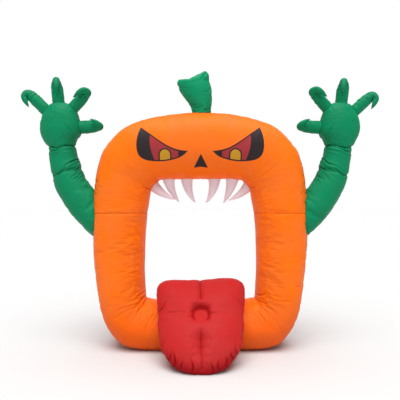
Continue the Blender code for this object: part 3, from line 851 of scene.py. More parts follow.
def stitched(name, seams, thread, tree, spacing):
    """Stitches along several lines of points, none below the ground, as one plain mesh."""
    length, width = STITCH_SIZE
    curve = bpy.data.curves.new(name + "_path", "CURVE")
    curve.dimensions = "3D"
    for line in seams:
        line = np.column_stack((line[:, :2], np.maximum(line[:, 2], width)))
        spline = curve.splines.new("POLY")
        spline.points.add(len(line) - 1)
        spline.points.foreach_set("co", np.column_stack((line, np.ones(len(line)))).ravel())
    guide = bpy.data.objects.new(name + "_path", curve)
    bpy.context.scene.collection.objects.link(guide)
    rows = guide.modifiers.new("stitches", "NODES")
    rows.node_group = tree
    socket = {item.name: item.identifier for item in tree.interface.items_tree if item.in_out == "INPUT"}
    rows[socket["Spacing"]] = spacing
    rows[socket["Stitch Length"]] = length
    rows[socket["Stitch Width"]] = width
    rows[socket["Thread"]] = thread
    graph = bpy.context.evaluated_depsgraph_get()
    mesh = bpy.data.meshes.new_from_object(guide.evaluated_get(graph), depsgraph=graph)
    bpy.data.objects.remove(guide)
    mesh.name = name
    piece = bpy.data.objects.new(name, mesh)
    bpy.context.scene.collection.objects.link(piece)
    return piece


# ---------------------------------------------------------------- the ring
def ring_columns():
    """Angles of the grid's columns, closer together at the seams, with each one's bulge and the seams' columns."""
    angles = []
    bulges = []
    seam_columns = []
    for number, count in enumerate(STRIP_COLUMNS):
        first = RING_SEAMS[number]
        last = RING_SEAMS[(number + 1) % 4] + (360 if number == 3 else 0)
        share = np.arange(count) / count
        share = share - CROWDING * np.sin(2 * math.pi * share) / (2 * math.pi)
        seam_columns.append(len(angles))
        angles += list(np.radians(first + (last - first) * share))
        bulges += list(STRIP_BULGES[number] * np.sin(math.pi * share))
    return np.array(angles), np.array(bulges), seam_columns


def turned_angles(angles, half_width):
    """Each row's angles: where the tube is thick, the strip that lines the opening spans less of it."""
    places = (RING_SEAMS[0], RING_SEAMS[1], 180, RING_SEAMS[2], RING_SEAMS[3])
    share = np.interp(np.degrees(angles), places, (0, 1, 0, -1, 0))
    return angles + share * np.radians(np.interp(half_width, *OPENING_SEAM_TURN))


def ring_points(places, angles, bulges):
    """The ring's smooth tube at these places along RING_ROWS, down its right half and up its left."""
    right = np.array(RING_ROWS)
    half = len(right) - 1
    left = right[half - 1 : 0 : -1] * (-1, 1, -1, 1, 1)
    rows = on_curve(np.vstack((right, left)), places, closed=True)
    outer = rows[:, 0:2]
    inner = rows[:, 2:4] + (OPENING_SHIFT, 0.0)
    outward = (outer - inner) / 2
    half_width = np.linalg.norm(outward, axis=1, keepdims=True)
    outward = outward / half_width
    middle = (outer + inner) / 2
    power = 2 / RING_SQUARENESS
    angles = turned_angles(angles, half_width)
    across = np.sign(np.cos(angles)) * np.abs(np.cos(angles)) ** power
    forward = np.sign(np.sin(angles)) * np.abs(np.sin(angles)) ** power
    reach = across * (half_width + bulges)
    points = np.empty((*angles.shape, 3))
    points[:, :, 0] = middle[:, :1] + outward[:, :1] * reach
    points[:, :, 1] = -forward * (rows[:, 4:5] + bulges)
    points[:, :, 2] = middle[:, 1:] + outward[:, 1:] * reach
    return points


# Creases fan out from the opening's corners, where the tube's inner side has cloth to spare.
CORNER_FANS = (
    # centre_x, centre_z, first_angle, last_angle, count, reach, depth, width
    (-0.560, 0.470, 140, 285, 7, 0.34, 0.0042, 0.0120),
    (0.573, 0.470, -105, 40, 7, 0.34, 0.0042, 0.0120),
    (-0.470, 1.605, 85, 205, 7, 0.30, 0.0030, 0.0110),
    (0.482, 1.605, -25, 95, 7, 0.30, 0.0030, 0.0110),
)
CORNER_CREASES = (
    # x0, z0, x1, z1, width, depth, on the front
    (-0.524, 0.492, -0.576, 0.418, 0.0075, 0.0150),
    (-0.530, 0.512, -0.618, 0.456, 0.0080, 0.0110),
    (-0.548, 0.540, -0.640, 0.506, 0.0085, 0.0075),
    (-0.560, 0.430, -0.594, 0.350, 0.0090, 0.0070),
    (-0.436, 0.385, -0.505, 0.243, 0.0100, 0.0085),
    (-0.484, 0.360, -0.536, 0.288, 0.0090, 0.0060),
    (0.530, 0.534, 0.634, 0.536, 0.0080, 0.0100),
    (0.534, 0.518, 0.604, 0.450, 0.0075, 0.0130),
    (0.486, 0.490, 0.524, 0.418, 0.0080, 0.0100),
    (0.460, 0.476, 0.504, 0.400, 0.0085, 0.0060),
    (0.560, 0.400, 0.622, 0.270, 0.0100, 0.0055),
    (-0.532, 1.584, -0.460, 1.548, 0.0080, 0.0110),
    (-0.452, 1.641, -0.396, 1.605, 0.0080, 0.0090),
    (0.540, 1.584, 0.474, 1.548, 0.0080, 0.0100),
    (0.462, 1.641, 0.408, 1.605, 0.0080, 0.0080),
)


def ring_relief(points, seam_columns, first_place):
    """How far the sewing moves the ring's cloth in or out, and how near each point is to a seam."""
    x, y, z = np.moveaxis(points, 2, 0)
    around = run_lengths(np.concatenate((points, points[:, :1]), axis=1), 1)
    whole = around[:, -1:]
    around = around[:, :-1]
    relief = np.zeros(x.shape)
    sewn = np.zeros(x.shape)
    for number, column in enumerate(seam_columns):
        away = np.abs(around - around[:, column : column + 1])
        away = np.minimum(away, whole - away)
        along = run_lengths(points[:, column : column + 1], 0) + 13.7 * number + first_place
        on_opening = number in OPENING_SEAMS
        depth, small_puckers, darkness = OPENING_SEAM if on_opening else OUTER_SEAM
        relief += groove(away, depth)
        if on_opening:
            relief += OPENING_RIDGE[0] * np.exp(-away / OPENING_RIDGE[1])
        relief += puckers(20 + 4 * number, along, away, *small_puckers)
        relief += puckers(40 + 4 * number, along, away, *WIDE_PUCKERS)
        sewn = np.maximum(sewn, darkness * bell(away, SEWN_LINE))

    # The level seams, where the two halves meet and pucker alike.
    down = run_lengths(points, 0)
    for end, away in ((0, down), (1, down[-1:] - down)):
        along = around + 5.1 * (end + 1 if first_place > SEAM_ROW else 2 - end)
        relief += groove(away, *LEVEL_GROOVE)
        relief += puckers(60, along, away, *LEVEL_PUCKERS)
        relief += puckers(64, along, away, *LEVEL_WIDE_PUCKERS)
        sewn = np.maximum(sewn, 0.25 * bell(away, THIN_LINE))

    # The strip that lines the opening stands a little fuller on the legs than on the beams.
    first, last = (seam_columns[number] for number in OPENING_SEAMS)
    lining = np.zeros(x.shape[1])
    lining[first : last + 1] = np.sin(np.linspace(0, math.pi, last - first + 1))
    relief += LEG_FULLNESS * lining * smooth_step(np.abs(x), *LEGS_FROM)

    # A short seam joins that strip's ends, at the middle of the top and of the lower beam.
    on_inner = np.zeros(x.shape[1])
    on_inner[first : last + 1] = 1.0
    away = np.abs(x - OPENING_SHIFT + 0.002)
    relief += on_inner * groove(away, 0.003)
    relief += on_inner * puckers(70, around, away, *JOIN_PUCKERS)
    sewn = np.maximum(sewn, 0.5 * on_inner * bell(away, SEWN_LINE))

    # Corner creases, different in front and behind.
    front = smooth_step(-y, -0.02, 0.02)
    for number, (cx, cz, *spread) in enumerate(CORNER_FANS):
        for side, weight in ((0, front), (1, 1 - front)):
            lines = fan(80 + 2 * number + side, (cx, cz), *spread)
            relief += weight * crease_lines(x, z, lines)
    relief += front * crease_lines(x, z, CORNER_CREASES)

    # The cloth is never quite even.
    centre_run = down.mean(axis=1, keepdims=True) + first_place
    relief += 0.0035 * noise(90, centre_run / 0.34, around / 0.30)
    relief += 0.0016 * noise(91, centre_run / 0.13, around / 0.22)
    return relief, sewn


def make_ring(material):
    angles, bulges, seam_columns = ring_columns()
    whole = 2 * (len(RING_ROWS) - 1)
    pieces = []
    seams = []
    for name, first, last in (
        ("arch_lower", SEAM_ROW, whole - SEAM_ROW),
        ("arch_upper", whole - SEAM_ROW, whole + SEAM_ROW),
    ):
        def centre_line(places):
            return ring_points(first + places, np.radians([90.0, 270.0]), np.zeros(2)).mean(axis=1)

        places = first + even_places(centre_line, last - first, CLOTH_STEP)
        points = ring_points(places % whole, angles, bulges)
        relief, sewn = ring_relief(points, seam_columns, first)
        points = points + outward_normals(points) * relief[:, :, None]
        points = inflated(points, seam_columns, SLACK["ring"], FURTHEST["ring"], points[:, :, 2] < GROUND_CONTACT)
        points[:, :, 2] = np.maximum(points[:, :, 2], 0.0)
        inwards = GAP / 2 * (-1 if name == "arch_lower" else 1)
        points[0, :, 2] = SEAM_HEIGHT + inwards
        points[-1, :, 2] = SEAM_HEIGHT + inwards
        caps = points[0].mean(axis=0), points[-1].mean(axis=0)
        piece = skin(name + "_cloth", points, material, sewn, *caps)
        pieces.append(piece)
        lifted = points + outward_normals(points) * STITCH_LIFT
        seams += [lifted[:, column] for column in seam_columns]
        if name == "arch_lower":
            seams += [np.vstack((lifted[row], lifted[row, :1])) for row in (0, -1)]
    return pieces, seams


# ---------------------------------------------------------------- swept pieces
def swept(path, columns):
    """A grid round a path of rows (x, y, z, width radius, front-to-back radius), turned with it."""
    points = path[:, :3]
    along = np.gradient(points, axis=0)
    along /= np.linalg.norm(along, axis=1)[:, None]
    side = np.cross((0.0, 1.0, 0.0), along[0])
    side /= np.linalg.norm(side)
    angles = np.arange(columns) * 2 * math.pi / columns
    grid = np.empty((len(path), columns, 3))
    for index, (point, tangent) in enumerate(zip(points, along)):
        side = side - tangent * side.dot(tangent)
        side /= np.linalg.norm(side)
        front = np.cross(tangent, side)
        grid[index] = (
            point
            + np.outer(np.cos(angles), side) * path[index, 3]
            + np.outer(np.sin(angles), front) * path[index, 4]
        )
    return grid


def tube_relief(seed, points, seams, pucker, ends=(True, True), end_groove=0.004):
    """Relief of a sewn tube: lengthwise seams at some columns, gathered ends and uneven cloth."""
    pitch, reach, height = pucker
    around = run_lengths(np.concatenate((points, points[:, :1]), axis=1), 1)
    whole = around[:, -1:]
    around = around[:, :-1]
    down = run_lengths(points, 0)
    relief = np.zeros(around.shape)
    sewn = np.zeros(around.shape)
    for number, column in enumerate(seams):
        away = np.abs(around - around[:, column : column + 1])
        away = np.minimum(away, whole - away)
        along = down[:, column : column + 1] + 7.3 * number
        relief += groove(away, 0.0030, 0.0050)
        relief += puckers(seed + 5 * number, along, away, pitch, reach, height)
        sewn = np.maximum(sewn, bell(away, THIN_LINE))
    for number, (wanted, away) in enumerate(zip(ends, (down, down[-1:] - down))):
        if wanted:
            relief += groove(away, end_groove, 0.008)
            relief += puckers(seed + 50 + number, around, away, pitch * 0.9, reach * 1.2, height * 1.3)
            sewn = np.maximum(sewn, bell(away, THIN_LINE))
    relief += height * 0.7 * noise(seed + 60, down / 0.11, around / 0.11)
    relief += height * 0.35 * noise(seed + 61, down / 0.045, around / 0.06)
    return relief, sewn


STEM_CREASES = (
    # x0, z0, x1, z1, width, depth
    (0.085, 2.715, 0.000, 2.640, 0.009, 0.008),
    (0.060, 2.700, 0.045, 2.610, 0.008, 0.006),
    (0.010, 2.705, -0.020, 2.640, 0.008, 0.005),
    (-0.225, 2.600, -0.120, 2.520, 0.011, 0.005),
    (0.115, 2.560, 0.050, 2.500, 0.010, 0.004),
    (-0.120, 2.420, -0.020, 2.380, 0.010, 0.006),
    (-0.105, 2.390, 0.000, 2.350, 0.009, 0.006),
)


def make_stem(material, ring_tree):
    columns = COLUMNS["stem"]
    rows = on_curve(STEM_ROWS, np.linspace(0, len(STEM_ROWS) - 1, 60))
    angles = np.arange(columns) * 2 * math.pi / columns
    share = (1 + np.cos(angles)) / 2
    left_x, left_z, right_x, right_z, half_depth = (rows[:, k : k + 1] for k in range(5))
    body = np.empty((len(rows), columns, 3))
    body[:, :, 0] = left_x + (right_x - left_x) * share
    body[:, :, 1] = half_depth * np.sin(angles)
    body[:, :, 2] = left_z + (right_z - left_z) * share
    rim = body[-1]
    ridge_x, ridge_z = zip(*STEM_RIDGE)
    top = np.interp(rim[:, 0], ridge_x, ridge_z)
    end = []
    for rise in np.sin(np.linspace(0, math.pi / 2, 18))[1:]:
        ring = rim.copy()
        ring[:, 1] = rim[:, 1] * math.sqrt(max(0.0, 1 - rise**2.4))
        ring[:, 2] = rim[:, 2] + (top - rim[:, 2]) * rise
        end.append(ring)
    points = np.concatenate((body, np.array(end)))[::-1]
    relief, sewn = tube_relief(200, points, (0, columns // 2), (0.030, 0.050, 0.0035), (True, False), 0.003)
    x, z = points[:, :, 0], points[:, :, 2]
    relief += crease_lines(x, z, STEM_CREASES)
    normals = outward_normals(points)
    relief[0] = 0
    points = points + normals * relief[:, :, None]
    points[0, :, 1] = 0.0
    points = trimmed_to(points, ring_tree)
    points = inflated(points, (0, columns // 2), SLACK["tube"], FURTHEST["tube"])
    foot = settle(points[-1].mean(axis=0), ring_tree)
    piece = skin("stem_cloth", points, material, sewn, None, foot, weld=True)
    lines = [points[:, 0], points[:, columns // 2], np.vstack((points[-1], points[-1, :1]))]
    return piece, lines


def settle(point, tree):
    """The point, moved just outside a surface if it is inside."""
    height, place, normal = height_over(tree, point)
    return np.array(point) if height > BELOW else np.array(place + normal * BELOW)


ARM_FOLDS = (
    # place along the rows, where its middle is (0 outer side, 90 front, 180 inner side), spread, depth, width
    (0.40, 65, 38, 0.0140, 0.010),
    (0.70, 140, 40, 0.0055, 0.008),
    (0.55, 250, 60, 0.0060, 0.008),
    (2.60, 150, 60, 0.0105, 0.010),
    (2.85, 60, 42, 0.0110, 0.009),
    (2.70, 250, 50, 0.0080, 0.010),
    (3.75, 150, 35, 0.0085, 0.010),
    (4.60, 175, 45, 0.0060, 0.010),
    (5.60, 165, 35, 0.0050, 0.010),
    (6.90, 185, 50, 0.0045, 0.011),
)


ARM_SEAMS = (2, 50)  # the columns of its two lengthwise seams, at its outer and inner edge
ARM_SHOWN = 0.86  # share of the arm's rows that stays outside the ring
ARM_ROW_LENGTH = 0.085  # on average
WRIST_RADIUS = 0.12
WRIST_SAG = 0.05  # how far from the wrist the cloth follows its seam


def wrist_rise(x, y):
    """How far the seam at the wrist strays from level: it dips in front and rises towards the ring."""
    away = np.abs(x) - ARM_ROWS[0][0]
    in_front = np.clip(-y / WRIST_RADIUS, 0.0, 1.0)
    dip = 0.022 * in_front * bell(away - 0.035, 0.060)
    return 0.014 * smooth_step(-away, -0.02, 0.12) - dip + 0.004 * y / WRIST_RADIUS


def make_arm(name, side, material, ring_tree):
    columns = COLUMNS["arm"]
    seed = 300 if side < 0 else 350

    def middle(places):
        return on_curve(ARM_ROWS, places)[:, :2]

    places = even_places(middle, len(ARM_ROWS) - 1, CLOTH_STEP * 0.8)
    rows = on_curve(ARM_ROWS, places)
    path = np.column_stack((side * rows[:, 0], np.zeros(len(rows)), rows[:, 1], rows[:, 2], rows[:, 2]))
    points = swept(path, columns)
    points = trimmed_to(points, ring_tree)
    relief, sewn = tube_relief(seed, points, ARM_SEAMS, (0.034, 0.045, 0.0022))
    angles = np.degrees(np.arange(columns) * 2 * math.pi / columns)
    row_places = np.linspace(0, 1, len(points))[:, None] * (len(ARM_ROWS) - 1) * ARM_SHOWN
    for number, (place, angle, spread, depth, width) in enumerate(ARM_FOLDS):
        turned = (angles - (180 + angle if side > 0 else -angle) + 180) % 360 - 180
        weight = bell(turned, spread)
        wander = 0.16 * noise(seed + 70 + number, angles / 35)
        away = (row_places - place - wander) * ARM_ROW_LENGTH
        dip = bell(away, width)
        lips = bell(np.abs(away) - 2 * width, width)
        relief += depth * weight * (0.5 * lips - dip)
    relief[0] = np.minimum(relief[0], 0)
    relief[-1] = 0
    points = points + outward_normals(points) * relief[:, :, None]
    points = inflated(points, ARM_SEAMS, SLACK["tube"], FURTHEST["tube"])
    sag = bell(run_lengths(points, 0), WRIST_SAG)
    points[:, :, 2] += sag * wrist_rise(points[:, :, 0], points[:, :, 1])
    points[0, :, 2] = WRIST_HEIGHT - GAP / 2 + wrist_rise(points[0, :, 0], points[0, :, 1])
    wrist = points[0].mean(axis=0)
    root = settle(points[-1].mean(axis=0), ring_tree)
    piece = skin(name + "_cloth", points, material, sewn, wrist, root)
    lines = [points[:, column] for column in ARM_SEAMS]
    lines += [np.vstack((points[row], points[row, :1])) for row in (0, -1)]
    return piece, lines


PALM_CREASES = (
    # x0, z0, x1, z1, width, depth, for the right hand's palm
    (1.292, 2.190, 1.250, 2.040, 0.010, 0.008),
    (1.215, 2.060, 1.290, 2.150, 0.010, 0.005),
    (1.330, 2.010, 1.350, 2.080, 0.009, 0.005),
    (1.420, 2.005, 1.400, 2.070, 0.009, 0.005),
    (1.480, 2.005, 1.460, 2.060, 0.009, 0.005),
    (1.270, 2.360, 1.320, 2.310, 0.008, 0.004),
    (1.360, 2.405, 1.370, 2.340, 0.008, 0.004),
    (1.430, 2.405, 1.430, 2.345, 0.008, 0.004),
    (1.520, 2.350, 1.475, 2.300, 0.008, 0.004),
)


def make_palm(name, side, material):
    columns = COLUMNS["palm"]
    places = np.concatenate((np.linspace(0, 8, 60)[:-1], 8 + np.sin(np.linspace(0, math.pi / 2, 8))))
    rows = on_curve(PALM_ROWS, places)
    height, inner_x, outer_x, half_depth = (rows[:, k : k + 1] for k in range(4))
    angles = np.arange(columns) * 2 * math.pi / columns
    points = np.empty((len(rows), columns, 3))
    points[:, :, 0] = side * ((inner_x + outer_x) / 2 + np.maximum(outer_x - inner_x, 0.002) / 2 * np.cos(angles))
    points[:, :, 1] = np.maximum(half_depth, 0.001) * np.sin(angles)
    points[:, :, 2] = height
    seed = 400 if side < 0 else 450
    relief, sewn = tube_relief(seed, points, (0, columns // 2), (0.028, 0.045, 0.0034), (True, False), 0.006)
    x, z = points[:, :, 0] * side, points[:, :, 2]
    relief += crease_lines(x, z, PALM_CREASES)
    fade = 1 - smooth_step(places, 7.6, 9.0)[:, None]
    points = points + outward_normals(points) * (relief * fade)[:, :, None]
    points = inflated(points, (0, columns // 2), SLACK["tube"], FURTHEST["palm"])
    sag = bell(run_lengths(points, 0), WRIST_SAG)
    points[:, :, 2] += sag * wrist_rise(points[:, :, 0], points[:, :, 1])
    points[0, :, 2] = WRIST_HEIGHT + GAP / 2 + wrist_rise(points[0, :, 0], points[0, :, 1])
    wrist = points[0].mean(axis=0)
    top = points[-1].mean(axis=0)
    piece = skin(name + "_cloth", points, material, sewn, wrist, top)
    lines = [points[:, 0], points[:, columns // 2]]
    return piece, lines


FINGER_ROW_LENGTH = 0.075  # on average
FINGER_FOLDS = (
    # place along the rows, depth
    (1.5, 0.0022),
    (2.3, 0.0035),
    (3.1, 0.0045),
    (3.7, 0.0040),
    (4.4, 0.0035),
)


def make_finger(name, rows, side, droop, lift, material, palm_tree, seed):
    columns = COLUMNS["finger"]
    rows = np.array(rows)
    rows[-2:, 2] += lift
    reach = len(rows) - 1
    index = np.arange(reach + 1)
    rows[:, 2] -= droop * np.sin(math.pi / 2 * np.minimum(1.0, 2 * index / reach))
    rows[:, 0] *= side

    def middle(places):
        return on_curve(rows, places)[:, :3]

    places = even_places(middle, reach, FINGER_STEP)[:-1]
    path = on_curve(rows, places)
    path[:, 3] = np.maximum(path[:, 3], 0.0015)
    points = swept(np.column_stack((path, path[:, 3])), columns)
    relief, sewn = tube_relief(seed, points, (0, columns // 2), (0.020, 0.030, 0.0024), (False, False))
    around = np.arange(columns) / columns
    for number, (place, depth) in enumerate(FINGER_FOLDS):
        wander = 0.10 * noise(seed + 80 + number, around * 9)
        away = (places[:, None] - place - wander) * FINGER_ROW_LENGTH
        relief += depth * noise(seed + 90 + number, around * 4) * bell(away, 0.009)
    slim = path[:, 3:4] / rows[:, 3].max()
    points = points + outward_normals(points) * (relief * np.minimum(1.0, slim))[:, :, None]
    points = trimmed_to(points[::-1], palm_tree)
    tip = middle(np.array([float(reach)]))[0]
    ends = tip, points[-1].mean(axis=0)
    points = inflated(points, (0, columns // 2), SLACK["finger"], FURTHEST["finger"], ends=ends)
    root = settle(points[-1].mean(axis=0), palm_tree)
    piece = skin(name + "_cloth", points, material, sewn[::-1], tip, root)
    lines = [points[:, 0], points[:, columns // 2], np.vstack((points[-1], points[-1, :1]))]
    return piece, lines


def make_fang(name, row, material, ring_tree, seed):
    columns = COLUMNS["fang"]
    root_x, root_z, middle_x, middle_z, tip_x, tip_z, width, tip_y = row
    root = np.array((root_x, 0.0, root_z))
    middle = np.array((middle_x, tip_y / 2, middle_z))
    tip = np.array((tip_x, tip_y, tip_z))
    upwards = (root - middle) / np.linalg.norm(root - middle)
    share = np.linspace(0, 1, 64)[:-1][:, None]
    bent = root * (1 - share) ** 2 + middle * 2 * share * (1 - share) + tip * share**2
    radius = width / 2 * (1 - share) ** FANG_TAPER
    lead = root + upwards * np.linspace(FANG_ROOT_DEPTH, 0, 16)[:-1][:, None]
    path = np.vstack((lead, bent))
    radius = np.vstack((np.full((len(lead), 1), width / 2), radius))
    points = swept(np.hstack((path, radius, radius * FANG_FLATNESS)), columns)
    relief, sewn = tube_relief(seed, points, (0, columns // 2), (0.018, 0.030, 0.0022), (False, False))
    slim = radius / radius.max()
    points = points + outward_normals(points) * (relief * slim)[:, :, None]
    points = trimmed_to(points[::-1], ring_tree)
    ends = tip, points[-1].mean(axis=0)
    points = inflated(points, (0, columns // 2), SLACK["fang"], FURTHEST["fang"], ends=ends)
    foot = settle(points[-1].mean(axis=0), ring_tree)
    piece = skin(name + "_cloth", points, material, sewn[::-1], tip, foot)
    return piece, [points[:, 0], points[:, columns // 2], np.vstack((points[-1], points[-1, :1]))]


# ---------------------------------------------------------------- the tongue
TONGUE_ROWS = (96, 50)  # from the middle of its front to its edge, and on to the middle of its back

# Its edge. Puckers and folds are a pitch along the seam, a reach to both sides of it and a height.
EDGE_GROOVE = (0.006, 0.006)  # depth, half width
EDGE_PUCKERS = (0.034, 0.055, 0.0045)
EDGE_FOLDS = (0.055, 0.080, 0.0060)
EDGE_FOLD_SHARES = (0.15, 0.45)  # how strong the folds are all round, and how much stronger at the lower edge
LOWER_EDGE = (0.50, 0.85)  # it begins between these sines of the angle below level
PLEAT_ANGLES = (-143, -135, -126, -117, -108, -99, -81, -72, -63, -54, -46, -38)  # degrees from its right side
PLEATS_START = 0.018  # this far from the seam
PLEATS_BEHIND = 0.5  # how strong they are at its back
LOWER_BAND_PAINTED_SHADE = (0.80, 0.105)  # painted shade in the lower band: how dark, and how far up from the seam

# The dimple that a tie pulls into its middle.
DIMPLE_DEPTH = 0.070
DIMPLE_RADII = (0.044, 0.108)
DIMPLE_RISE = (0.30, 0.060)  # share of its depth that is lost over this way down from its middle
DIMPLE_DROP = 1.30  # how much longer it is below its middle than above it
DIMPLE_SPOKES = (0.110, 0.040, 0.0075)  # folds that gather round it: how far out, reach, height
DIMPLE_HELD = 0.062  # the tie holds the cloth out to here

# The seam down the middle of its front, in metres up or down from the dimple's middle.
SEAM_SHOWS = (0.14, 0.17)  # below the dimple it begins to show here
SEAM_DEEPER = (0.15, 0.27)  # there it is drawn in deepest
SEAM_SHALLOWER = (0.25, 0.43)
SEAM_ABOVE = (0.10, 0.16)  # above the dimple it begins to show here
# Its sizes everywhere, and how much more they are where it is deepest and above the dimple:
SEAM_WIDTHS = (0.010, 0.020, 0.004)
SEAM_DEPTHS = (0.009, 0.026, 0.009)
# the last are of the seam's dark line, which is partly painted shade in its groove
SEWN_LINE_AND_SHADE_WIDTHS = (0.0045, 0.010, 0.006)
SEAM_VALLEY = (0.012, 0.075)  # depth and reach of the slack cloth at both sides
SEAM_PUCKERS = (0.040, 0.055, 0.0009)

TONGUE_CREASES = (
    # across0, up0, across1, up1, width, depth
    (-0.385, 0.070, -0.285, 0.140, 0.011, 0.018),
    (-0.300, 0.005, -0.190, 0.020, 0.010, 0.005),
    (-0.340, 0.180, -0.250, 0.150, 0.010, 0.004),
    (0.370, 0.130, 0.300, 0.170, 0.010, 0.006),
)


def tongue_edge(angles, up_reach, down_reach):
    """The flat pillow's outline: nearly square at its top, which is wider, and rounder towards its tip."""
    across = np.cos(angles)
    up = np.sin(angles)
    upper = smooth_step(up, -0.2, 0.2)
    power = TONGUE_TIP_SQUARENESS + (TONGUE_TOP_SQUARENESS - TONGUE_TIP_SQUARENESS) * upper
    risen = up_reach + TONGUE_RIGHT_RISE * smooth_step(across, 0.0, 0.6)
    reach = np.where(up > 0, risen, down_reach)
    half_width = TONGUE_HALF_WIDTH + TONGUE_WIDER_TOP * smooth_step(up, 0.0, 0.7)
    radius = ((np.abs(across) / half_width) ** power + (np.abs(up) / reach) ** power) ** (-1 / power)
    return across * radius, up * radius


class TongueGrid:
    """The tongue's pillow before it is sewn, in rows from the middle of its front over its edge to its back.

    across and up say where a point lies on the flat pillow, and share how far it is on the way to the edge.
    """

    def __init__(self):
        top = np.array((0.0, *TONGUE_TOP))
        tip = np.array((0.0, *TONGUE_TIP))
        length = np.linalg.norm(tip - top)
        upwards = (top - tip) / length
        self.frontwards = np.array((0.0, -upwards[2], upwards[1]))
        middle = top + (tip - top) * TONGUE_MIDDLE
        up_reach = length * TONGUE_MIDDLE
        down_reach = length - up_reach
        self.angles = np.arange(COLUMNS["tongue"]) * 2 * math.pi / COLUMNS["tongue"]
        self.edge_across, self.edge_up = tongue_edge(self.angles, up_reach, down_reach)

        front_rows, back_rows = TONGUE_ROWS
        front_share = np.sin(np.linspace(0.02, math.pi / 2, front_rows)) ** 0.85
        back_share = np.sin(np.linspace(math.pi / 2, 0.05, back_rows))[1:]
        self.edge_row = front_rows - 1
        self.share = np.concatenate((front_share, back_share))[:, None]
        self.front = np.concatenate((np.ones(len(front_share)), np.zeros(len(back_share))))[:, None]
        self.across = self.edge_across * self.share
        self.up = self.edge_up * self.share
        flatness, roundness = TONGUE_SWELL
        swell = TONGUE_HALF_DEPTH * np.maximum(1 - self.share**flatness, 0) ** roundness
        out = np.where(self.front > 0, swell, -swell)
        self.points = middle + self.up[:, :, None] * upwards + out[:, :, None] * self.frontwards
        self.points[:, :, 0] = self.across + TONGUE_SHIFT


def tongue_pleats(edge_across, edge_up):
    """Folds that run up from the lower edge, where its two panels are gathered into the seam."""
    random = np.random.default_rng(530)
    lines = []
    for degrees in PLEAT_ANGLES:
        column = round((degrees + random.uniform(-2, 2)) % 360 / 360 * len(edge_across))
        foot = np.array((edge_across[column], edge_up[column]))
        top = foot + (-0.05 * foot[0], random.uniform(0.06, 0.11))
        lines.append((*foot, *top, random.uniform(0.0060, 0.0085), random.uniform(0.010, 0.016)))
    return lines


def sew_tongue_edge(grid):
    """Relief and sewn lines round its edge: the seam, and folds that are long and deep on its lower half, with
    painted shade in a band along the lower edge that is darkest in the pleats' folds.
    """
    around = run_lengths(np.concatenate((grid.points, grid.points[:, :1]), axis=1), 1)[:, :-1]
    down = run_lengths(grid.points, 0)
    edge = slice(grid.edge_row, grid.edge_row + 1)
    away = np.abs(down - down[edge])
    along = around[edge] * np.ones_like(away)
    lower = smooth_step(-np.sin(grid.angles), *LOWER_EDGE)
    relief = groove(away, *EDGE_GROOVE)
    relief += puckers(500, along, away, *EDGE_PUCKERS)
    relief += (EDGE_FOLD_SHARES[0] + EDGE_FOLD_SHARES[1] * lower) * puckers(504, along, away, *EDGE_FOLDS)
    pleats = crease_lines(grid.across, grid.up, tongue_pleats(grid.edge_across, grid.edge_up))
    relief += (1 - bell(away, PLEATS_START)) * pleats * np.where(grid.front > 0, 1.0, PLEATS_BEHIND)
    darkness, reach = LOWER_BAND_PAINTED_SHADE
    # Painted shade: the lower band darkens towards the seam, and more where the pleats fold in.
    gathered = lower * bell(away, reach) * (darkness - 60 * np.minimum(pleats, 0.0))
    return relief, np.maximum(bell(away, THIN_LINE), np.clip(gathered, 0.0, 0.97))


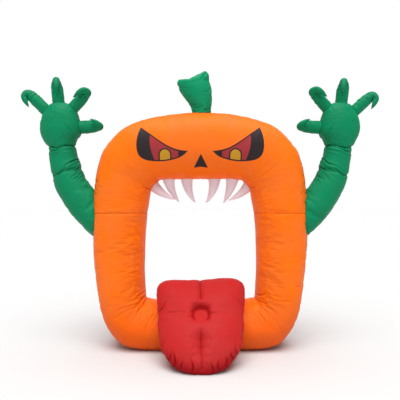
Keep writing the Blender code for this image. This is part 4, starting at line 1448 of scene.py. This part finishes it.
def sew_tongue_middle(grid, relief, sewn):
    """Adds the tie's dimple and the seam down the middle of its front, with painted shade on the dimple's upper slope
    and in the seam's groove, and says which points they hold still.
    """
    across, up, front = grid.across, grid.up, grid.front
    from_middle = np.hypot(across, np.where(up < 0, up / DIMPLE_DROP, up))
    floor_radius, rim_radius = DIMPLE_RADII
    rim_radius = rim_radius * (1 + 0.15 * np.abs(np.sin(grid.angles)) ** 2)
    beyond = smooth_step((from_middle - floor_radius) / (rim_radius - floor_radius), 0.0, 1.0)
    # How much shade is painted on the dimple's upper slope, between its floor and rim.
    dimple_wall_shade = smooth_step(beyond, 0.02, 0.25) * (1 - smooth_step(beyond, 0.5, 1.0)) * smooth_step(up, -0.105, -0.05)
    tilt = np.clip(1 - DIMPLE_RISE[0] * (1 - up / DIMPLE_RISE[1]), 0.10, 1.0)
    relief -= front * DIMPLE_DEPTH * (1 - beyond) * tilt

    # The seam is drawn in deepest just under the dimple.
    off_edge = 1 - smooth_step(grid.share, 0.93, 1.0)
    deepest = np.minimum(1.3 * smooth_step(-up, *SEAM_DEEPER) * (1 - smooth_step(-up, *SEAM_SHALLOWER)), 1.0)
    above = smooth_step(up, *SEAM_ABOVE)
    shows = np.maximum(smooth_step(-up, *SEAM_SHOWS), above)

    def seam_size(everywhere, more_where_deepest, more_above):
        return everywhere + more_where_deepest * deepest + more_above * above

    seam_depth = shows * seam_size(*SEAM_DEPTHS)
    seam_line = 0.006 * smooth_step(-up, 0.355, 0.375) - 0.006 * smooth_step(up, 0.2, 0.3)
    away = np.abs(across - seam_line)
    relief -= front * off_edge * seam_depth * bell(away, seam_size(*SEAM_WIDTHS))
    relief -= front * SEAM_VALLEY[0] * deepest * bell(away, SEAM_VALLEY[1])
    relief -= front * off_edge * shows * 0.0025 * bell(away, 0.005)
    # The seam's dark line, widened into painted shade in its groove where it is drawn in deepest and above the
    # dimple.
    sewn = np.maximum(sewn, 0.72 * front * shows * bell(away, seam_size(*SEWN_LINE_AND_SHADE_WIDTHS)))
    # Painted shade on the dimple's upper slope.
    sewn = np.maximum(sewn, front * 0.68 * dimple_wall_shade)
    relief += front * beyond * puckers(510, up, away, *SEAM_PUCKERS)
    relief += front * crease_lines(across, up, TONGUE_CREASES)

    # Folds that gather round the dimple, like spokes.
    turned = np.abs((grid.angles - math.pi * 1.5 + math.pi) % (2 * math.pi) - math.pi)
    spoke = noise(520, 34 * turned * np.sign(across + 1e-9) / (2 * math.pi) + 60, from_middle / 0.3)
    how_far, reach, height = DIMPLE_SPOKES
    gather = bell(from_middle - how_far, reach) * smooth_step(up, -0.12, 0.0)
    relief += front * height * spoke * gather
    held = (front > 0) & (((away < 0.004) & (shows > 0.5)) | (from_middle < DIMPLE_HELD))
    return sewn, held


def make_tongue(material, ring_tree):
    grid = TongueGrid()
    relief, sewn = sew_tongue_edge(grid)
    sewn, held = sew_tongue_middle(grid, relief, sewn)
    relief += 0.0035 * noise(521, grid.across / 0.16 + 40, grid.up / 0.16 + 40)
    relief += 0.0015 * noise(522, grid.across / 0.06 + 40, grid.up / 0.06 + 40)

    normals = np.where(grid.front[:, :, None] > 0, grid.frontwards, -grid.frontwards)
    toward_edge = smooth_step(grid.share, 0.75, 1.0)[:, :, None]
    normals = normals * (1 - toward_edge) + outward_normals(grid.points) * toward_edge
    points = grid.points + normals * relief[:, :, None]
    points[:, :, 2] = np.maximum(points[:, :, 2], 0.0)
    held[grid.edge_row] = True
    held |= points[:, :, 2] < GROUND_CONTACT
    points = inflated(points, (), SLACK["tongue"], FURTHEST["tongue"], held)
    near_ring = (points[:, :, 1] > -0.36) & (points[:, :, 2] < 0.75)
    for row, column in zip(*np.nonzero(near_ring)):
        points[row, column] = settle(points[row, column], ring_tree)
    points[:, :, 2] = np.maximum(points[:, :, 2], 0.0)

    caps = points[0].mean(axis=0), points[-1].mean(axis=0)
    laid_flat = np.stack((grid.up + 3.0 * (1 - grid.front), grid.across), axis=2)
    piece = skin("tongue_cloth", points, material, sewn, *caps, laid_flat=laid_flat)
    off_dimple = (grid.share[:, 0] > 0.30) & (grid.front[:, 0] > 0)
    lines = [points[off_dimple, column] for column in (COLUMNS["tongue"] // 4, 3 * COLUMNS["tongue"] // 4)]
    lines.append(np.vstack((points[grid.edge_row], points[grid.edge_row, :1])))
    return piece, lines


# ---------------------------------------------------------------- putting it together
ORANGE = (0.98, 0.166, 0.002)
GREEN = (0.002, 0.236, 0.099)
RED = (0.475, 0.0205, 0.0205)
PALE_GREEN = (0.003, 0.285, 0.122)  # the stem's cloth
PINK = (0.88, 0.77, 0.83)


def darker(colour, share):
    return tuple(channel * share for channel in colour)


CLOTH_FINISHES = {
    # colour, colour and share of the sewn lines and of painted shade, height of the crinkles, gloss
    "orange": (ORANGE, (0.66, 0.075, 0.001), 0.45, 0.0075, 0.12),
    "green": (GREEN, darker(GREEN, 0.50), 0.60, 0.0050, 0.09),
    "pale_green": (PALE_GREEN, darker(GREEN, 0.50), 0.60, 0.0050, 0.09),
    # its sewn colour also paints the shade in the tongue's lower band, on its dimple and in its seam's groove
    "red": (RED, (0.31, 0.0010, 0.005), 0.90, 0.0045, 0.045),
    "pink": (PINK, (0.62, 0.26, 0.28), 0.80, 0.0014, 0.12),
}


def attach(piece, nodes):
    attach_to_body(piece, "root")
    if nodes:
        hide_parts(*nodes)


def build_object():
    cloth = cloth_group()
    face = print_and_low_shade_group()
    materials = {
        name: cloth_material(name + "_cloth", *finish, cloth, face if name == "orange" else None)
        for name, finish in CLOTH_FINISHES.items()
    }
    stitches = stitch_tree()

    ring, ring_seams = make_ring(materials["orange"])
    ring_tree = surface_tree(ring)
    attach(ring[0], ["arch_lower"])
    attach(ring[1], ["arch_upper"])

    green_seams = []
    stem, lines = make_stem(materials["pale_green"], ring_tree)
    attach(stem, ["stem"])
    green_seams += lines
    for side_name, side in (("left", -1), ("right", 1)):
        arm, lines = make_arm(f"arm_{side_name}", side, materials["green"], ring_tree)
        attach(arm, [f"arm_{side_name}"])
        green_seams += lines
        palm, lines = make_palm(f"palm_{side_name}", side, materials["green"])
        attach(palm, [f"palm_{side_name}"])
        green_seams += lines
        palm_tree = surface_tree([palm])
        for number, (finger, rows) in enumerate(FINGERS.items()):
            droop = DROOP_RIGHT[finger] if side > 0 else 0.0
            node = f"{finger}_{side_name}"
            lift = CLAW_LIFT.get(finger, (0.0, 0.0))
            seed = 600 + 40 * number + (20 if side > 0 else 0)
            piece, lines = make_finger(node, rows, side, droop, lift, materials["green"], palm_tree, seed)
            attach(piece, [node])
            green_seams += lines

    pink_seams = []
    for number, row in enumerate(FANG_ROWS, start=1):
        fang, lines = make_fang(f"fang_{number}", row, materials["pink"], ring_tree, 900 + 10 * number)
        attach(fang, [f"fang_{number}"])
        pink_seams += lines

    tongue, red_seams = make_tongue(materials["red"], ring_tree)
    attach(tongue, ["tongue"])

    for name, seams, colour, spacing in (
        ("orange", ring_seams, ORANGE, 0.013),
        ("green", green_seams, GREEN, 0.011),
        ("red", red_seams, RED, 0.012),
        ("pink", pink_seams, PINK, 0.010),
    ):
        thread = thread_material(f"{name}_thread", darker(colour, 0.8))
        attach(stitched(f"{name}_stitches", seams, thread, stitches, spacing), [])


# ---------------------------------------------------------------- the studio
def plain_material(name, colour, roughness):
    material = bpy.data.materials.new(name)
    material.use_nodes = True
    shader = material.node_tree.nodes["Principled BSDF"]
    shader.inputs["Base Color"].default_value = (*colour, 1.0)
    shader.inputs["Roughness"].default_value = roughness
    return material


WALLS_END = (0.42, 0.68)  # the white walls fade out between these sines of the height above the floor
SIDES = (0.46, 0.84, 0.50)  # to both sides they darken between these sines, by this share
FRONT = (0.25, 0.75, 0.55)  # and so do they in front of the object, where the camera stands
FLOOR_REACH = 60.0
FLOOR_BELOW = 0.001  # the ground's cloth lies on it
CAMERA_PLACE = (0.0, -4.5, 1.4504)
CAMERA_LENS = 40.5  # in mm, on a sensor 36 mm wide
STUDIO_LIGHTS = (
    # name, strength, spread, turn from the front, height above the floor, in degrees
    ("front_light", 2.55, 50, 0, 62),
    ("top_light", 2.10, 60, 0, 88),
)


def build_studio():
    floor_mesh = bpy.data.meshes.new("studio_floor")
    turns = ((-1, -1), (1, -1), (1, 1), (-1, 1))
    corners = [(FLOOR_REACH * x, FLOOR_REACH * y, -FLOOR_BELOW) for x, y in turns]
    floor_mesh.from_pydata(corners, [], [(0, 1, 2, 3)])
    floor_mesh.materials.append(plain_material("studio_white", (0.64, 0.64, 0.64), 0.9))
    floor = bpy.data.objects.new("studio_floor", floor_mesh)
    bpy.context.scene.collection.objects.link(floor)

    world = bpy.data.worlds.new("studio_walls")
    world.use_nodes = True
    w = Wiring(world.node_tree)
    split = w.node("ShaderNodeSeparateXYZ")
    w.link(w.node("ShaderNodeTexCoord").outputs["Generated"], split.inputs[0])
    background = world.node_tree.nodes["Background"]
    background.inputs["Color"].default_value = (1.0, 1.0, 1.0, 1.0)
    sideways = w.ramp(w.math("ABSOLUTE", split.outputs[0]), *SIDES[:2])
    walls = w.less(1.0, w.ramp(split.outputs[2], *WALLS_END))
    forwards = w.ramp(w.times(split.outputs[1], -1.0), *FRONT[:2])
    walls = w.times(walls, w.less(1.0, w.times(sideways, SIDES[2])))
    w.link(w.times(walls, w.less(1.0, w.times(forwards, FRONT[2]))), background.inputs["Strength"])
    bpy.context.scene.world = world
    bpy.context.scene.view_settings.view_transform = "Standard"

    for name, strength, spread, turn, height in STUDIO_LIGHTS:
        light = bpy.data.lights.new(name, "SUN")
        light.energy = strength
        light.angle = math.radians(spread)
        lamp = bpy.data.objects.new(name, light)
        turn, height = math.radians(turn), math.radians(height)
        level = math.cos(height)
        aim = Vector((-math.sin(turn) * level, math.cos(turn) * level, -math.sin(height)))
        lamp.rotation_euler = aim.to_track_quat("-Z", "Y").to_euler()
        bpy.context.scene.collection.objects.link(lamp)

    camera = bpy.data.cameras.new("photo_camera")
    camera.lens = CAMERA_LENS
    camera.sensor_width = 36.0
    camera_object = bpy.data.objects.new("photo_camera", camera)
    camera_object.location = CAMERA_PLACE
    camera_object.rotation_euler = (math.radians(90), 0.0, 0.0)
    bpy.context.scene.collection.objects.link(camera_object)
    bpy.context.scene.camera = camera_object


build_studio()
build_object()

bpy.context.view_layer.update()
